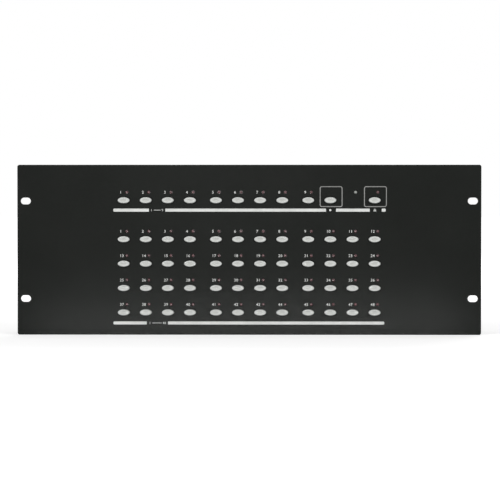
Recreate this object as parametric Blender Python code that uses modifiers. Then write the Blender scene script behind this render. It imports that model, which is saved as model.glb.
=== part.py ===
"""A 19-inch rack control panel, four units high, for a 48-channel lighting switch system.

Every length is in metres. The parent empty stands at the centre of the panel's front face, so the
pieces are placed with X to the right, Y backwards from that face and Z up from its centre line.
"""
import math

import bmesh
import bpy
from mathutils import Matrix, Vector

MM = 0.001

# Gap left between two pieces that touch on the real panel
FIT = 0.3 * MM

# Front panel: a four-unit rack plate
PANEL_WIDTH = 482.6 * MM
PANEL_HEIGHT = 177.0 * MM
PANEL_THICKNESS = 3.0 * MM
PANEL_CORNER = 1.5 * MM
RACK_SLOT_FROM_END = 8.75 * MM
RACK_SLOT_SPACING = 101.6 * MM
RACK_SLOT_LENGTH = 10.5 * MM
RACK_SLOT_HEIGHT = 7.0 * MM

# Key field: twelve columns in three banks of four, four channel rows and one scene row
BANKS = 3
KEYS_PER_BANK = 4
CHANNEL_ROWS = 4
SCENE_KEYS = 9
COLUMN_PITCH = 23.0 * MM
BANK_STEP = 27.0 * MM
ROW_PITCH = 25.4 * MM
FIRST_CHANNEL_ROW_Z = 11.0 * MM
SCENE_ROW_RISE = 40.6 * MM

# Oval key cap, carried by the plunger of its switch
KEY_WIDTH = 12.5 * MM
KEY_HEIGHT = 6.4 * MM
KEY_PROUD = 2.6 * MM
KEY_CROWN = 0.9 * MM
KEY_SKIRT = 2.2 * MM
KEY_BOSS = 3.4 * MM
KEY_BOSS_LENGTH = 2.0 * MM
KEY_TRAVEL = 0.3 * MM
KEY_CLEARANCE = 0.3 * MM
OVAL_SIDES = 12

# Switch under each key and the lamp beside its number
SWITCH_SIDE = 6.2 * MM
SWITCH_HEIGHT = 3.5 * MM
PLUNGER_SIDE = 2.6 * MM
LAMP_DIAMETER = 3.0 * MM
LAMP_PROUD = 0.5 * MM
LAMP_CLEARANCE = 0.3 * MM
LAMP_RIGHT = 3.2 * MM
LAMP_RISE = 8.3 * MM
LAMP_SIDES = 6

# Boards
BOARD_THICKNESS = 1.6 * MM
BOARD_CORNER = 2.0 * MM
KEY_BOARD_BORDER = 10.0 * MM
SPACER_DIAMETER = 6.0 * MM
SPACER_EDGE = 5.0 * MM
SPACER_SIDES = 6
CONTROL_WIDTH = 150.0 * MM
CONTROL_HEIGHT = 90.0 * MM
CONTROL_X = -20.0 * MM
CONTROL_Z = 10.0 * MM
CONTROL_GAP = 11.0 * MM
PIN_HEADER_LENGTH = 60.0 * MM
PIN_HEADER_HEIGHT = 5.0 * MM
PIN_HEADER_FROM_TOP = 10.0 * MM

# Blocks on the control board: width, height and depth, then right of and above its centre
CONTROL_BLOCKS = {
    "processor": (14.0 * MM, 14.0 * MM, 1.6 * MM, 0.0 * MM, 4.0 * MM),
    "output driver": (6.0 * MM, 5.0 * MM, 1.6 * MM, -52.0 * MM, 12.0 * MM),
    "input receiver": (6.0 * MM, 5.0 * MM, 1.6 * MM, -52.0 * MM, -4.0 * MM),
    "regulator": (11.0 * MM, 5.0 * MM, 16.0 * MM, 56.0 * MM, -24.0 * MM),
    "data terminals": (22.0 * MM, 8.0 * MM, 11.0 * MM, -52.0 * MM, -30.0 * MM),
    "supply terminals": (16.0 * MM, 8.0 * MM, 11.0 * MM, 40.0 * MM, 24.0 * MM),
}
CONTROL_CAPACITORS = ((24.0 * MM, -24.0 * MM), (38.0 * MM, -24.0 * MM))
CONTROL_CAPACITOR_DIAMETER = 8.0 * MM
CONTROL_CAPACITOR_LENGTH = 12.0 * MM
CAPACITOR_SIDES = 10

# Folded steel case behind the panel
CASE_WIDTH = 430.0 * MM
CASE_DEPTH = 72.0 * MM
CASE_INSET = 2.0 * MM
SHEET = 1.2 * MM
BEND_RADIUS = 1.8 * MM
FLANGE = 8.0 * MM
COVER_LIP = 12.0 * MM
FOOT_DIAMETER = 16.0 * MM
FOOT_SIDES = 12
FOOT_INSET_X = 30.0 * MM
FOOT_INSET_Y = 14.0 * MM
VENT_LENGTH = 36.0 * MM
VENT_WIDTH = 3.0 * MM
VENT_PITCH = 8.0 * MM
VENTS_PER_GROUP = 6
VENT_GROUP_X = 110.0 * MM

# Power entry module: inlet, fuse drawer and rocker switch in one moulding
INLET_FROM_SIDE = 50.0 * MM
CONNECTOR_Z = -28.0 * MM
ENTRY_FLANGE_WIDTH = 34.0 * MM
ENTRY_FLANGE_HEIGHT = 62.0 * MM
ENTRY_FLANGE_THICKNESS = 3.0 * MM
ENTRY_FLANGE_CORNER = 3.0 * MM
ENTRY_BODY_WIDTH = 27.0 * MM
ENTRY_BODY_HEIGHT = 54.0 * MM
ENTRY_BODY_DEPTH = 22.0 * MM
INLET_WIDTH = 24.2 * MM
INLET_HEIGHT = 16.4 * MM
INLET_DEPTH = 15.0 * MM
INLET_CHAMFER = 4.5 * MM
INLET_DROP = 15.5 * MM
BLADE_WIDTH = 2.0 * MM
BLADE_HEIGHT = 4.0 * MM
BLADE_LENGTH = 13.0 * MM
BLADE_SPACING = 14.0 * MM
BLADE_RISE = 2.0 * MM
FUSE_WIDTH = 22.0 * MM
FUSE_HEIGHT = 6.0 * MM
FUSE_PROUD = 1.0 * MM
FUSE_DROP = 2.0 * MM

# Rocker of the power switch
ROCKER_WIDTH = 12.6 * MM
ROCKER_HALF = 9.2 * MM
ROCKER_END = 3.0 * MM
ROCKER_VALLEY = 1.2 * MM
ROCKER_HUB_DEPTH = 5.2 * MM
ROCKER_HUB_HALF = 3.12 * MM
ROCKER_TILT = math.radians(12.0)
ROCKER_RISE = 15.0 * MM
ROCKER_SINK = 1.0 * MM
ROCKER_CLEARANCE = 0.4 * MM

# Round data sockets on rectangular flanges
SOCKET_FROM_SIDE = 50.0 * MM
SOCKET_PITCH = 40.0 * MM
SOCKET_FLANGE_WIDTH = 26.0 * MM
SOCKET_FLANGE_HEIGHT = 31.0 * MM
SOCKET_FLANGE_THICKNESS = 2.4 * MM
SOCKET_FLANGE_CORNER = 3.0 * MM
SOCKET_BARREL = 23.4 * MM
SOCKET_BARREL_DEPTH = 18.0 * MM
SOCKET_BORE = 18.8 * MM
SOCKET_BORE_DEPTH = 15.0 * MM
SOCKET_INSERT = 15.2 * MM
SOCKET_PIN = 2.4 * MM
SOCKET_PIN_HOLE = 3.2 * MM
SOCKET_PIN_CIRCLE = 9.6 * MM
SOCKET_PIN_LENGTH = 12.0 * MM
SOCKET_SIDES = 20
SOCKET_PIN_SIDES = 6
LATCH_WIDTH = 7.0 * MM
LATCH_HEIGHT = 3.4 * MM
LATCH_PROUD = 1.2 * MM

# Open-frame power supply on the floor of the case
SUPPLY_WIDTH = 90.0 * MM
SUPPLY_LENGTH = 50.0 * MM
SUPPLY_CLEAR = 8.0 * MM
SUPPLY_STANDOFF = 6.0 * MM

# Blocks on the supply's board: width, depth and height, then right of its left edge and behind its front
SUPPLY_BLOCKS = {
    "transformer": (24.0 * MM, 22.0 * MM, 20.0 * MM, 44.0 * MM, 25.0 * MM),
    "mains filter": (16.0 * MM, 18.0 * MM, 18.0 * MM, 70.0 * MM, 26.0 * MM),
    "mains heat sink": (3.0 * MM, 34.0 * MM, 22.0 * MM, 59.0 * MM, 25.0 * MM),
    "output heat sink": (3.0 * MM, 34.0 * MM, 22.0 * MM, 30.0 * MM, 25.0 * MM),
    "mains terminals": (8.0 * MM, 30.0 * MM, 10.0 * MM, 84.0 * MM, 25.0 * MM),
    "output terminals": (8.0 * MM, 24.0 * MM, 10.0 * MM, 6.0 * MM, 25.0 * MM),
}
SUPPLY_CAPACITORS = ((20.0 * MM, 14.0 * MM), (20.0 * MM, 36.0 * MM))
SUPPLY_CAPACITOR_DIAMETER = 12.0 * MM
SUPPLY_CAPACITOR_LENGTH = 20.0 * MM

# Depths worked out from the sizes above, measured backwards from the panel's front face
PANEL_BACK = PANEL_THICKNESS
KEY_BACK = PANEL_BACK + KEY_SKIRT
BOSS_END = KEY_BACK + KEY_BOSS_LENGTH
SWITCH_FRONT = BOSS_END + KEY_TRAVEL
BOARD_FRONT = SWITCH_FRONT + SWITCH_HEIGHT
BOARD_BACK = BOARD_FRONT + BOARD_THICKNESS
CONTROL_FRONT = BOARD_BACK + CONTROL_GAP
CONTROL_BACK = CONTROL_FRONT + BOARD_THICKNESS
CASE_FRONT = PANEL_BACK + FIT
CASE_BACK = PANEL_BACK + CASE_DEPTH
FLANGE_SEAT = CASE_BACK + FIT
ENTRY_FACE = FLANGE_SEAT + ENTRY_FLANGE_THICKNESS
ROCKER_AXIS_Y = ENTRY_FACE - ROCKER_SINK
ROCKER_REACH = ROCKER_END * math.cos(ROCKER_TILT) + ROCKER_HALF * math.sin(ROCKER_TILT)
REARMOST = ROCKER_AXIS_Y + ROCKER_REACH
FACE_Y = (KEY_PROUD - REARMOST) / 2

# Heights worked out from the sizes above, measured up from the panel's centre line
CASE_BOTTOM = CASE_INSET - PANEL_HEIGHT / 2
COVER_TOP = PANEL_HEIGHT / 2 - CASE_INSET
CASE_TOP = COVER_TOP - SHEET - FIT
SCENE_ROW_Z = FIRST_CHANNEL_ROW_Z + SCENE_ROW_RISE
LAST_ROW_Z = FIRST_CHANNEL_ROW_Z - (CHANNEL_ROWS - 1) * ROW_PITCH

# Places of the rear connectors, seen from the front
INLET_X = CASE_WIDTH / 2 - INLET_FROM_SIDE
SOCKET_OUT_X = SOCKET_FROM_SIDE - CASE_WIDTH / 2
SOCKET_IN_X = SOCKET_OUT_X + SOCKET_PITCH

# How far a fused piece or a cutter runs past the surface that it joins or opens
BITE = 0.8 * MM
PAST = 2.0 * MM

# Points nearer than this are one point
WELD = 0.01 * MM


def clear_scene():
    for old in list(bpy.data.objects):
        bpy.data.objects.remove(old, do_unlink=True)
    for old in list(bpy.data.collections):
        bpy.data.collections.remove(old)


def new_collection(name):
    collection = bpy.data.collections.new(name)
    bpy.context.scene.collection.children.link(collection)
    return collection


def paint(name, colour, roughness, metallic=0.0):
    """One Principled material."""
    material = bpy.data.materials.new(name)
    material.use_nodes = True
    shader = material.node_tree.nodes["Principled BSDF"]
    shader.inputs["Base Color"].default_value = (*colour, 1.0)
    shader.inputs["Roughness"].default_value = roughness
    shader.inputs["Metallic"].default_value = metallic
    return material


clear_scene()
PARTS = new_collection("switch_control_panel")
CUTTERS = new_collection("cutters")

FACE_CENTRE = bpy.data.objects.new("face_centre", None)
FACE_CENTRE.location = (0.0, FACE_Y, PANEL_HEIGHT / 2)
PARTS.objects.link(FACE_CENTRE)


def part(name, mesh, material, place=(0.0, 0.0, 0.0)):
    """A named piece of the panel, placed from the centre of the front face."""
    obj = bpy.data.objects.new(name, mesh)
    if not mesh.materials:
        mesh.materials.append(material)
    obj.parent = FACE_CENTRE
    obj.location = place
    PARTS.objects.link(obj)
    return obj


def cutter(name, mesh, place=(0.0, 0.0, 0.0)):
    """A hidden helper that a Boolean modifier reads."""
    obj = bpy.data.objects.new(name, mesh)
    obj.parent = FACE_CENTRE
    obj.location = place
    obj.hide_render = True
    obj.display_type = "WIRE"
    CUTTERS.objects.link(obj)
    return obj


def combine(target, other, operation):
    """Joins another mesh to the target, or cuts it away."""
    step = target.modifiers.new(other.name, "BOOLEAN")
    step.operation = operation
    step.solver = "EXACT"
    step.object = other


def baked(obj):
    """The evaluated mesh of a helper object, which is then removed."""
    bpy.context.view_layer.update()
    graph = bpy.context.evaluated_depsgraph_get()
    mesh = bpy.data.meshes.new_from_object(obj.evaluated_get(graph))
    bpy.data.objects.remove(obj, do_unlink=True)
    return mesh


def finished(bm, name):
    """Turns a bmesh into a mesh with its faces pointing out."""
    bmesh.ops.recalc_face_normals(bm, faces=bm.faces)
    mesh = bpy.data.meshes.new(name)
    bm.to_mesh(mesh)
    bm.free()
    return mesh


def add_box(bm, low, high):
    """Adds a box between two corners and returns its edges."""
    low, high = Vector(low), Vector(high)
    place = Matrix.Translation((low + high) / 2) @ Matrix.Diagonal((*(high - low), 1.0))
    verts = bmesh.ops.create_cube(bm, size=1.0, matrix=place)["verts"]
    return {edge for vert in verts for edge in vert.link_edges}


def box_mesh(name, low, high):
    bm = bmesh.new()
    add_box(bm, low, high)
    return finished(bm, name)


def add_prism(bm, sides, radius, front, back, x, z):
    """Adds a prism that runs from front to back along Y."""
    place = Matrix.Translation((x, (front + back) / 2, z)) @ Matrix.Rotation(math.pi / 2, 4, "X")
    depth = back - front
    bmesh.ops.create_cone(
        bm, cap_ends=True, segments=sides, radius1=radius, radius2=radius, depth=depth, matrix=place
    )


def add_post(bm, sides, radius, low, high, x, y, low_radius=None):
    """Adds an upright prism, whose lower end may be narrower."""
    place = Matrix.Translation((x, y, (low + high) / 2))
    foot = radius if low_radius is None else low_radius
    depth = high - low
    bmesh.ops.create_cone(
        bm, cap_ends=True, segments=sides, radius1=foot, radius2=radius, depth=depth, matrix=place
    )


def oval(width, height, sides, x=0.0, z=0.0):
    """Points round an ellipse, with a point at each end of both its axes."""
    turn = 2 * math.pi / sides
    return [
        (x + width / 2 * math.cos(i * turn), z + height / 2 * math.sin(i * turn))
        for i in range(sides)
    ]


def rounded_rectangle(width, height, radius, steps, x=0.0, z=0.0):
    """Points round a rectangle whose corners are quarter circles."""
    points = []
    for quarter, (sx, sz) in enumerate(((1, 1), (-1, 1), (-1, -1), (1, -1))):
        for i in range(steps + 1):
            angle = (quarter + i / steps) * math.pi / 2
            points.append((
                x + sx * (width / 2 - radius) + radius * math.cos(angle),
                z + sz * (height / 2 - radius) + radius * math.sin(angle),
            ))
    return points


def slot(length, height, steps, x=0.0, z=0.0):
    """Points round a slot with half-round ends."""
    points = []
    for end, side in enumerate((1, -1)):
        for i in range(steps + 1):
            angle = (end - 0.5 + i / steps) * math.pi
            points.append((
                x + side * (length - height) / 2 + height / 2 * math.cos(angle),
                z + height / 2 * math.sin(angle),
            ))
    return points


def plate_mesh(name, outlines, front, thickness):
    """A flat plate that faces forwards: the first outline is its edge, the others are holes in it."""
    curve = bpy.data.curves.new(name, "CURVE")
    curve.dimensions = "2D"
    curve.fill_mode = "BOTH"
    curve.extrude = thickness / 2
    for points in outlines:
        spline = curve.splines.new("POLY")
        spline.points.add(len(points) - 1)
        for point, (x, z) in zip(spline.points, points):
            point.co = (x, z, 0.0, 1.0)
        spline.use_cyclic_u = True
    helper = bpy.data.objects.new(name, curve)
    CUTTERS.objects.link(helper)
    mesh = baked(helper)
    bpy.data.curves.remove(curve)
    bm = bmesh.new()
    bm.from_mesh(mesh)
    bpy.data.meshes.remove(mesh)
    bmesh.ops.remove_doubles(bm, verts=bm.verts, dist=WELD)
    upright = Matrix.Translation((0.0, front + thickness / 2, 0.0)) @ Matrix.Rotation(math.pi / 2, 4, "X")
    bmesh.ops.transform(bm, matrix=upright, verts=bm.verts)
    return finished(bm, name)


def turned_mesh(name, profile, sides):
    """A closed profile of (radius, depth) points, turned about the Y axis by a Screw modifier."""
    line = bpy.data.meshes.new(name)
    line.from_pydata(
        [(radius, depth, 0.0) for radius, depth in profile],
        [(i, i + 1) for i in range(len(profile) - 1)],
        [],
    )
    helper = bpy.data.objects.new(name, line)
    CUTTERS.objects.link(helper)
    screw = helper.modifiers.new("turn", "SCREW")
    screw.axis = "Y"
    screw.steps = sides
    screw.render_steps = sides
    screw.use_merge_vertices = True
    screw.merge_threshold = WELD
    mesh = baked(helper)
    bm = bmesh.new()
    bm.from_mesh(mesh)
    bpy.data.meshes.remove(mesh)
    bmesh.ops.remove_doubles(bm, verts=bm.verts, dist=WELD)
    return finished(bm, name)


def column_places():
    """The X of each key column, banks set apart, the field centred on the panel."""
    places = []
    for bank in range(BANKS):
        for column in range(KEYS_PER_BANK):
            start = bank * ((KEYS_PER_BANK - 1) * COLUMN_PITCH + BANK_STEP)
            places.append(start + column * COLUMN_PITCH)
    middle = (places[0] + places[-1]) / 2
    return [x - middle for x in places]


COLUMNS = column_places()
LOCK_COLUMN = len(COLUMNS) - 1
STATUS_COLUMN = LOCK_COLUMN - 1
RECORD_COLUMN = SCENE_KEYS
CHANNEL_PLACES = [
    (x, FIRST_CHANNEL_ROW_Z - row * ROW_PITCH) for row in range(CHANNEL_ROWS) for x in COLUMNS
]
SCENE_PLACES = [(x, SCENE_ROW_Z) for x in COLUMNS[:SCENE_KEYS]]
RECORD_PLACE = (COLUMNS[RECORD_COLUMN], SCENE_ROW_Z)
STATUS_PLACE = (COLUMNS[STATUS_COLUMN], SCENE_ROW_Z)
LOCK_PLACE = (COLUMNS[LOCK_COLUMN], SCENE_ROW_Z)
KEY_PLACES = CHANNEL_PLACES + SCENE_PLACES + [RECORD_PLACE, LOCK_PLACE]
LAMP_PLACES = [
    (x + LAMP_RIGHT, z + LAMP_RISE)
    for x, z in CHANNEL_PLACES + SCENE_PLACES + [STATUS_PLACE, LOCK_PLACE]
]


def front_panel():
    """The rack plate: four slots in its ears, an oval hole for each key and a round one for each lamp."""
    outlines = [rounded_rectangle(PANEL_WIDTH, PANEL_HEIGHT, PANEL_CORNER, 3)]
    for side in (-1, 1):
        for level in (-1, 1):
            x = side * (PANEL_WIDTH / 2 - RACK_SLOT_FROM_END)
            z = level * RACK_SLOT_SPACING / 2
            outlines.append(slot(RACK_SLOT_LENGTH, RACK_SLOT_HEIGHT, 6, x, z))
    hole_width = KEY_WIDTH + 2 * KEY_CLEARANCE
    hole_height = KEY_HEIGHT + 2 * KEY_CLEARANCE
    for place in KEY_PLACES:
        outlines.append(oval(hole_width, hole_height, OVAL_SIDES, *place))
    lamp_hole = LAMP_DIAMETER + 2 * LAMP_CLEARANCE
    for place in LAMP_PLACES:
        outlines.append(oval(lamp_hole, lamp_hole, LAMP_SIDES, *place))
    mesh = plate_mesh("front_panel", outlines, 0.0, PANEL_THICKNESS)
    part("front_panel", mesh, paint("satin_black_paint", (0.020, 0.021, 0.019), 0.42))


def key_mesh():
    """An oval cap with a crowned edge, and behind it the square boss that grips the plunger."""
    bm = bmesh.new()
    sections = (
        (-KEY_PROUD, KEY_WIDTH - 2 * KEY_CROWN, KEY_HEIGHT - 2 * KEY_CROWN),
        (KEY_CROWN - KEY_PROUD, KEY_WIDTH, KEY_HEIGHT),
        (KEY_BACK, KEY_WIDTH, KEY_HEIGHT),
    )
    rings = [
        [bm.verts.new((x, depth, z)) for x, z in oval(width, height, OVAL_SIDES)]
        for depth, width, height in sections
    ]
    bm.faces.new(rings[0])
    bm.faces.new(rings[-1])
    for ring, after in zip(rings, rings[1:]):
        for i in range(OVAL_SIDES):
            j = (i + 1) % OVAL_SIDES
            bm.faces.new((ring[i], ring[j], after[j], after[i]))
    cap = bpy.data.objects.new("cap", finished(bm, "cap"))
    CUTTERS.objects.link(cap)
    half = KEY_BOSS / 2
    boss_mesh = box_mesh("boss", (-half, KEY_BACK - BITE, -half), (half, BOSS_END, half))
    boss = bpy.data.objects.new("boss", boss_mesh)
    CUTTERS.objects.link(boss)
    combine(cap, boss, "UNION")
    mesh = baked(cap)
    bpy.data.objects.remove(boss, do_unlink=True)
    mesh.name = "key"
    return mesh


KEY_MESH = key_mesh()


def keys():
    """The keys that travel: 48 channel keys, the record key and the lock key share one mesh."""
    plastic = paint("key_plastic", (0.58, 0.60, 0.57), 0.45)
    for number, (x, z) in enumerate(CHANNEL_PLACES, start=1):
        part(f"key_{number:02d}", KEY_MESH, plastic, (x, 0.0, z))
    part("record_key", KEY_MESH, plastic, (RECORD_PLACE[0], 0.0, RECORD_PLACE[1]))
    part("lock_key", KEY_MESH, plastic, (LOCK_PLACE[0], 0.0, LOCK_PLACE[1]))


def board_edges():
    """Left, right, bottom and top edge of the key board, drawn round the key field."""
    side = KEY_WIDTH / 2 + KEY_BOARD_BORDER
    return (
        COLUMNS[0] - side,
        COLUMNS[-1] + side,
        LAST_ROW_Z - KEY_HEIGHT / 2 - KEY_BOARD_BORDER,
        SCENE_ROW_Z + LAMP_RISE + KEY_BOARD_BORDER,
    )


def spacer_places():
    """Spacers at the board's corners and in the alleys between the banks."""
    left, right, bottom, top = board_edges()
    corners = [(x, z) for x in (left + SPACER_EDGE, right - SPACER_EDGE)
               for z in (bottom + SPACER_EDGE, top - SPACER_EDGE)]
    alleys = []
    for bank in range(1, BANKS):
        x = (COLUMNS[bank * KEYS_PER_BANK - 1] + COLUMNS[bank * KEYS_PER_BANK]) / 2
        alleys.append((x, FIRST_CHANNEL_ROW_Z + SCENE_ROW_RISE / 2))
        alleys.append((x, (FIRST_CHANNEL_ROW_Z + LAST_ROW_Z) / 2))
    return corners + alleys


def key_board():
    """The board behind the keys, with its switches, lamps and spacers and the nine scene keys."""
    left, right, bottom, top = board_edges()
    outline = rounded_rectangle(
        right - left, top - bottom, BOARD_CORNER, 1, (left + right) / 2, (bottom + top) / 2
    )
    board = plate_mesh("key_board", [outline], BOARD_FRONT, BOARD_THICKNESS)
    obj = part("key_board", board, paint("board_green", (0.02, 0.11, 0.05), 0.5))
    bm = bmesh.new()
    half = SWITCH_SIDE / 2
    for x, z in KEY_PLACES:
        add_box(bm, (x - half, SWITCH_FRONT, z - half), (x + half, BOARD_FRONT + BITE, z + half))
    for x, z in LAMP_PLACES:
        add_prism(bm, LAMP_SIDES, LAMP_DIAMETER / 2, -LAMP_PROUD, BOARD_FRONT + BITE, x, z)
    for x, z in spacer_places():
        front, back = PANEL_BACK + FIT, BOARD_FRONT + BITE
        add_prism(bm, SPACER_SIDES, SPACER_DIAMETER / 2, front, back, x, z)
    combine(obj, cutter("board_fittings", finished(bm, "board_fittings")), "UNION")
    combine(obj, cutter("scene_plungers", scene_plungers()), "UNION")
    combine(obj, cutter("scene_caps", scene_caps()), "UNION")


def scene_caps():
    """The caps of the nine scene keys."""
    bm = bmesh.new()
    for x, z in SCENE_PLACES:
        start = len(bm.verts)
        bm.from_mesh(KEY_MESH)
        bm.verts.ensure_lookup_table()
        bmesh.ops.translate(bm, verts=bm.verts[start:], vec=(x, 0.0, z))
    return finished(bm, "scene_caps")


def scene_plungers():
    """The plungers that join the scene keys' bosses to their switches."""
    bm = bmesh.new()
    half = PLUNGER_SIDE / 2
    for x, z in SCENE_PLACES:
        low = (x - half, BOSS_END - BITE, z - half)
        high = (x + half, SWITCH_FRONT + BITE, z + half)
        add_box(bm, low, high)
    return finished(bm, "scene_plungers")


def control_board():
    """The processor board, stacked on the key board by its spacers and a pin header."""
    outline = rounded_rectangle(
        CONTROL_WIDTH, CONTROL_HEIGHT, BOARD_CORNER, 1, CONTROL_X, CONTROL_Z
    )
    board = plate_mesh("control_board", [outline], CONTROL_FRONT, BOARD_THICKNESS)
    obj = part("control_board", board, paint("control_board_green", (0.02, 0.12, 0.05), 0.5))
    bm = bmesh.new()
    front, back = BOARD_BACK + FIT, CONTROL_FRONT + BITE
    for side in (-1, 1):
        for level in (-1, 1):
            x = CONTROL_X + side * (CONTROL_WIDTH / 2 - SPACER_EDGE)
            z = CONTROL_Z + level * (CONTROL_HEIGHT / 2 - SPACER_EDGE)
            add_prism(bm, SPACER_SIDES, SPACER_DIAMETER / 2, front, back, x, z)
    half_length, half_height = PIN_HEADER_LENGTH / 2, PIN_HEADER_HEIGHT / 2
    header_z = CONTROL_Z + CONTROL_HEIGHT / 2 - PIN_HEADER_FROM_TOP
    low = (CONTROL_X - half_length, front, header_z - half_height)
    add_box(bm, low, (CONTROL_X + half_length, back, header_z + half_height))
    for width, height, depth, right, up in CONTROL_BLOCKS.values():
        x, z = CONTROL_X + right, CONTROL_Z + up
        low = (x - width / 2, CONTROL_BACK - BITE, z - height / 2)
        add_box(bm, low, (x + width / 2, CONTROL_BACK + depth, z + height / 2))
    for right, up in CONTROL_CAPACITORS:
        radius = CONTROL_CAPACITOR_DIAMETER / 2
        front, back = CONTROL_BACK - BITE, CONTROL_BACK + CONTROL_CAPACITOR_LENGTH
        add_prism(bm, CAPACITOR_SIDES, radius, front, back, CONTROL_X + right, CONTROL_Z + up)
    combine(obj, cutter("control_fittings", finished(bm, "control_fittings")), "UNION")


def bent_box(name, low, high, radius):
    """A box whose floor and rear edges are bent to a radius, as folded sheet is."""
    bm = bmesh.new()
    edges = add_box(bm, low, high)

    def on_fold(edge):
        first, second = (vert.co for vert in edge.verts)
        on_floor = abs(first.z - low[2]) < MM and abs(second.z - low[2]) < MM
        on_rear = abs(first.y - high[1]) < MM and abs(second.y - high[1]) < MM
        along_front = abs(first.y - low[1]) < MM and abs(second.y - low[1]) < MM
        on_top = abs(first.z - high[2]) < MM and abs(second.z - high[2]) < MM
        return (on_floor or on_rear) and not along_front and not on_top

    folds = [edge for edge in edges if on_fold(edge)]
    bmesh.ops.bevel(bm, geom=folds, offset=radius, segments=2, profile=0.5, affect="EDGES")
    return finished(bm, name)


def case_body():
    """The folded steel tray: floor, sides, rear wall and the flanges behind the front panel."""
    half = CASE_WIDTH / 2
    shell = bent_box(
        "case_body", (-half, CASE_FRONT, CASE_BOTTOM), (half, CASE_BACK, CASE_TOP), BEND_RADIUS
    )
    obj = part("case_body", shell, paint("case_black_paint", (0.022, 0.022, 0.023), 0.5))
    inside = bent_box(
        "case_inside",
        (SHEET - half, CASE_FRONT + SHEET, CASE_BOTTOM + SHEET),
        (half - SHEET, CASE_BACK - SHEET, CASE_TOP + PAST),
        BEND_RADIUS - SHEET,
    )
    combine(obj, cutter("case_inside", inside), "DIFFERENCE")
    window = box_mesh(
        "case_window",
        (FLANGE - half, CASE_FRONT - PAST, CASE_BOTTOM + FLANGE),
        (half - FLANGE, CASE_FRONT + SHEET + PAST, CASE_TOP + PAST),
    )
    combine(obj, cutter("case_window", window), "DIFFERENCE")
    openings = bmesh.new()
    across = ENTRY_BODY_WIDTH / 2 + FIT
    tall = ENTRY_BODY_HEIGHT / 2 + FIT
    add_box(
        openings,
        (INLET_X - across, CASE_BACK - SHEET - PAST, CONNECTOR_Z - tall),
        (INLET_X + across, CASE_BACK + PAST, CONNECTOR_Z + tall),
    )
    hole = SOCKET_BARREL / 2 + FIT
    for x in (SOCKET_OUT_X, SOCKET_IN_X):
        back = CASE_BACK + PAST
        add_prism(openings, SOCKET_SIDES, hole, CASE_BACK - SHEET - PAST, back, x, CONNECTOR_Z)
    combine(obj, cutter("rear_openings", finished(openings, "rear_openings")), "DIFFERENCE")
    combine(obj, cutter("stamped_feet", stamped_feet()), "UNION")


def stamped_feet():
    """Four round feet stamped in the floor, which stand level with the panel's lower edge."""
    bm = bmesh.new()
    top = CASE_BOTTOM + SHEET / 2
    floor = -PANEL_HEIGHT / 2
    for side in (-1, 1):
        for y in (CASE_FRONT + FOOT_INSET_Y, CASE_BACK - FOOT_INSET_Y):
            x = side * (CASE_WIDTH / 2 - FOOT_INSET_X)
            radius = FOOT_DIAMETER / 2
            add_post(bm, FOOT_SIDES, radius, floor, top, x, y, radius - CASE_INSET)
    return finished(bm, "stamped_feet")


def top_cover():
    """The lid: a flat sheet with lips turned down outside the tray, and two groups of vents."""
    half = CASE_WIDTH / 2 + FIT + SHEET
    outer = box_mesh(
        "top_cover",
        (-half, CASE_FRONT, COVER_TOP - COVER_LIP),
        (half, CASE_BACK + FIT + SHEET, COVER_TOP),
    )
    obj = part("top_cover", outer, paint("cover_black_paint", (0.022, 0.022, 0.023), 0.5))
    hollow = box_mesh(
        "cover_hollow",
        (SHEET - half, CASE_FRONT - PAST, COVER_TOP - COVER_LIP - PAST),
        (half - SHEET, CASE_BACK + FIT, COVER_TOP - SHEET),
    )
    combine(obj, cutter("cover_hollow", hollow), "DIFFERENCE")
    slots = []
    middle = (CASE_FRONT + CASE_BACK) / 2
    for group in (-1, 1):
        for i in range(VENTS_PER_GROUP):
            x = group * VENT_GROUP_X + (i - (VENTS_PER_GROUP - 1) / 2) * VENT_PITCH
            slots.append(slot(VENT_LENGTH, VENT_WIDTH, 3, x, middle))
    combine(obj, cutter("cover_vents", vent_cutters(slots)), "DIFFERENCE")


def vent_cutters(slots):
    """Upright cutters for the vents, each turned to run from front to back."""
    bm = bmesh.new()
    for points in slots:
        middle_x = sum(x for x, _ in points) / len(points)
        middle_y = sum(y for _, y in points) / len(points)
        turned = [(middle_x - (y - middle_y), middle_y + (x - middle_x)) for x, y in points]
        low = [bm.verts.new((x, y, COVER_TOP - SHEET - PAST)) for x, y in turned]
        face = bm.faces.new(low)
        raised = bmesh.ops.extrude_face_region(bm, geom=[face])["geom"]
        lifted = [item for item in raised if isinstance(item, bmesh.types.BMVert)]
        bmesh.ops.translate(bm, verts=lifted, vec=(0.0, 0.0, SHEET + 2 * PAST))
    return finished(bm, "cover_vents")


def inlet_outline():
    """The inlet's mouth: a rectangle with its two upper corners cut off."""
    half_x = INLET_WIDTH / 2
    half_z = INLET_HEIGHT / 2
    z = CONNECTOR_Z - INLET_DROP
    return [
        (INLET_X - half_x, z - half_z),
        (INLET_X + half_x, z - half_z),
        (INLET_X + half_x, z + half_z - INLET_CHAMFER),
        (INLET_X + half_x - INLET_CHAMFER, z + half_z),
        (INLET_X - half_x + INLET_CHAMFER, z + half_z),
        (INLET_X - half_x, z + half_z - INLET_CHAMFER),
    ]


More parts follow.
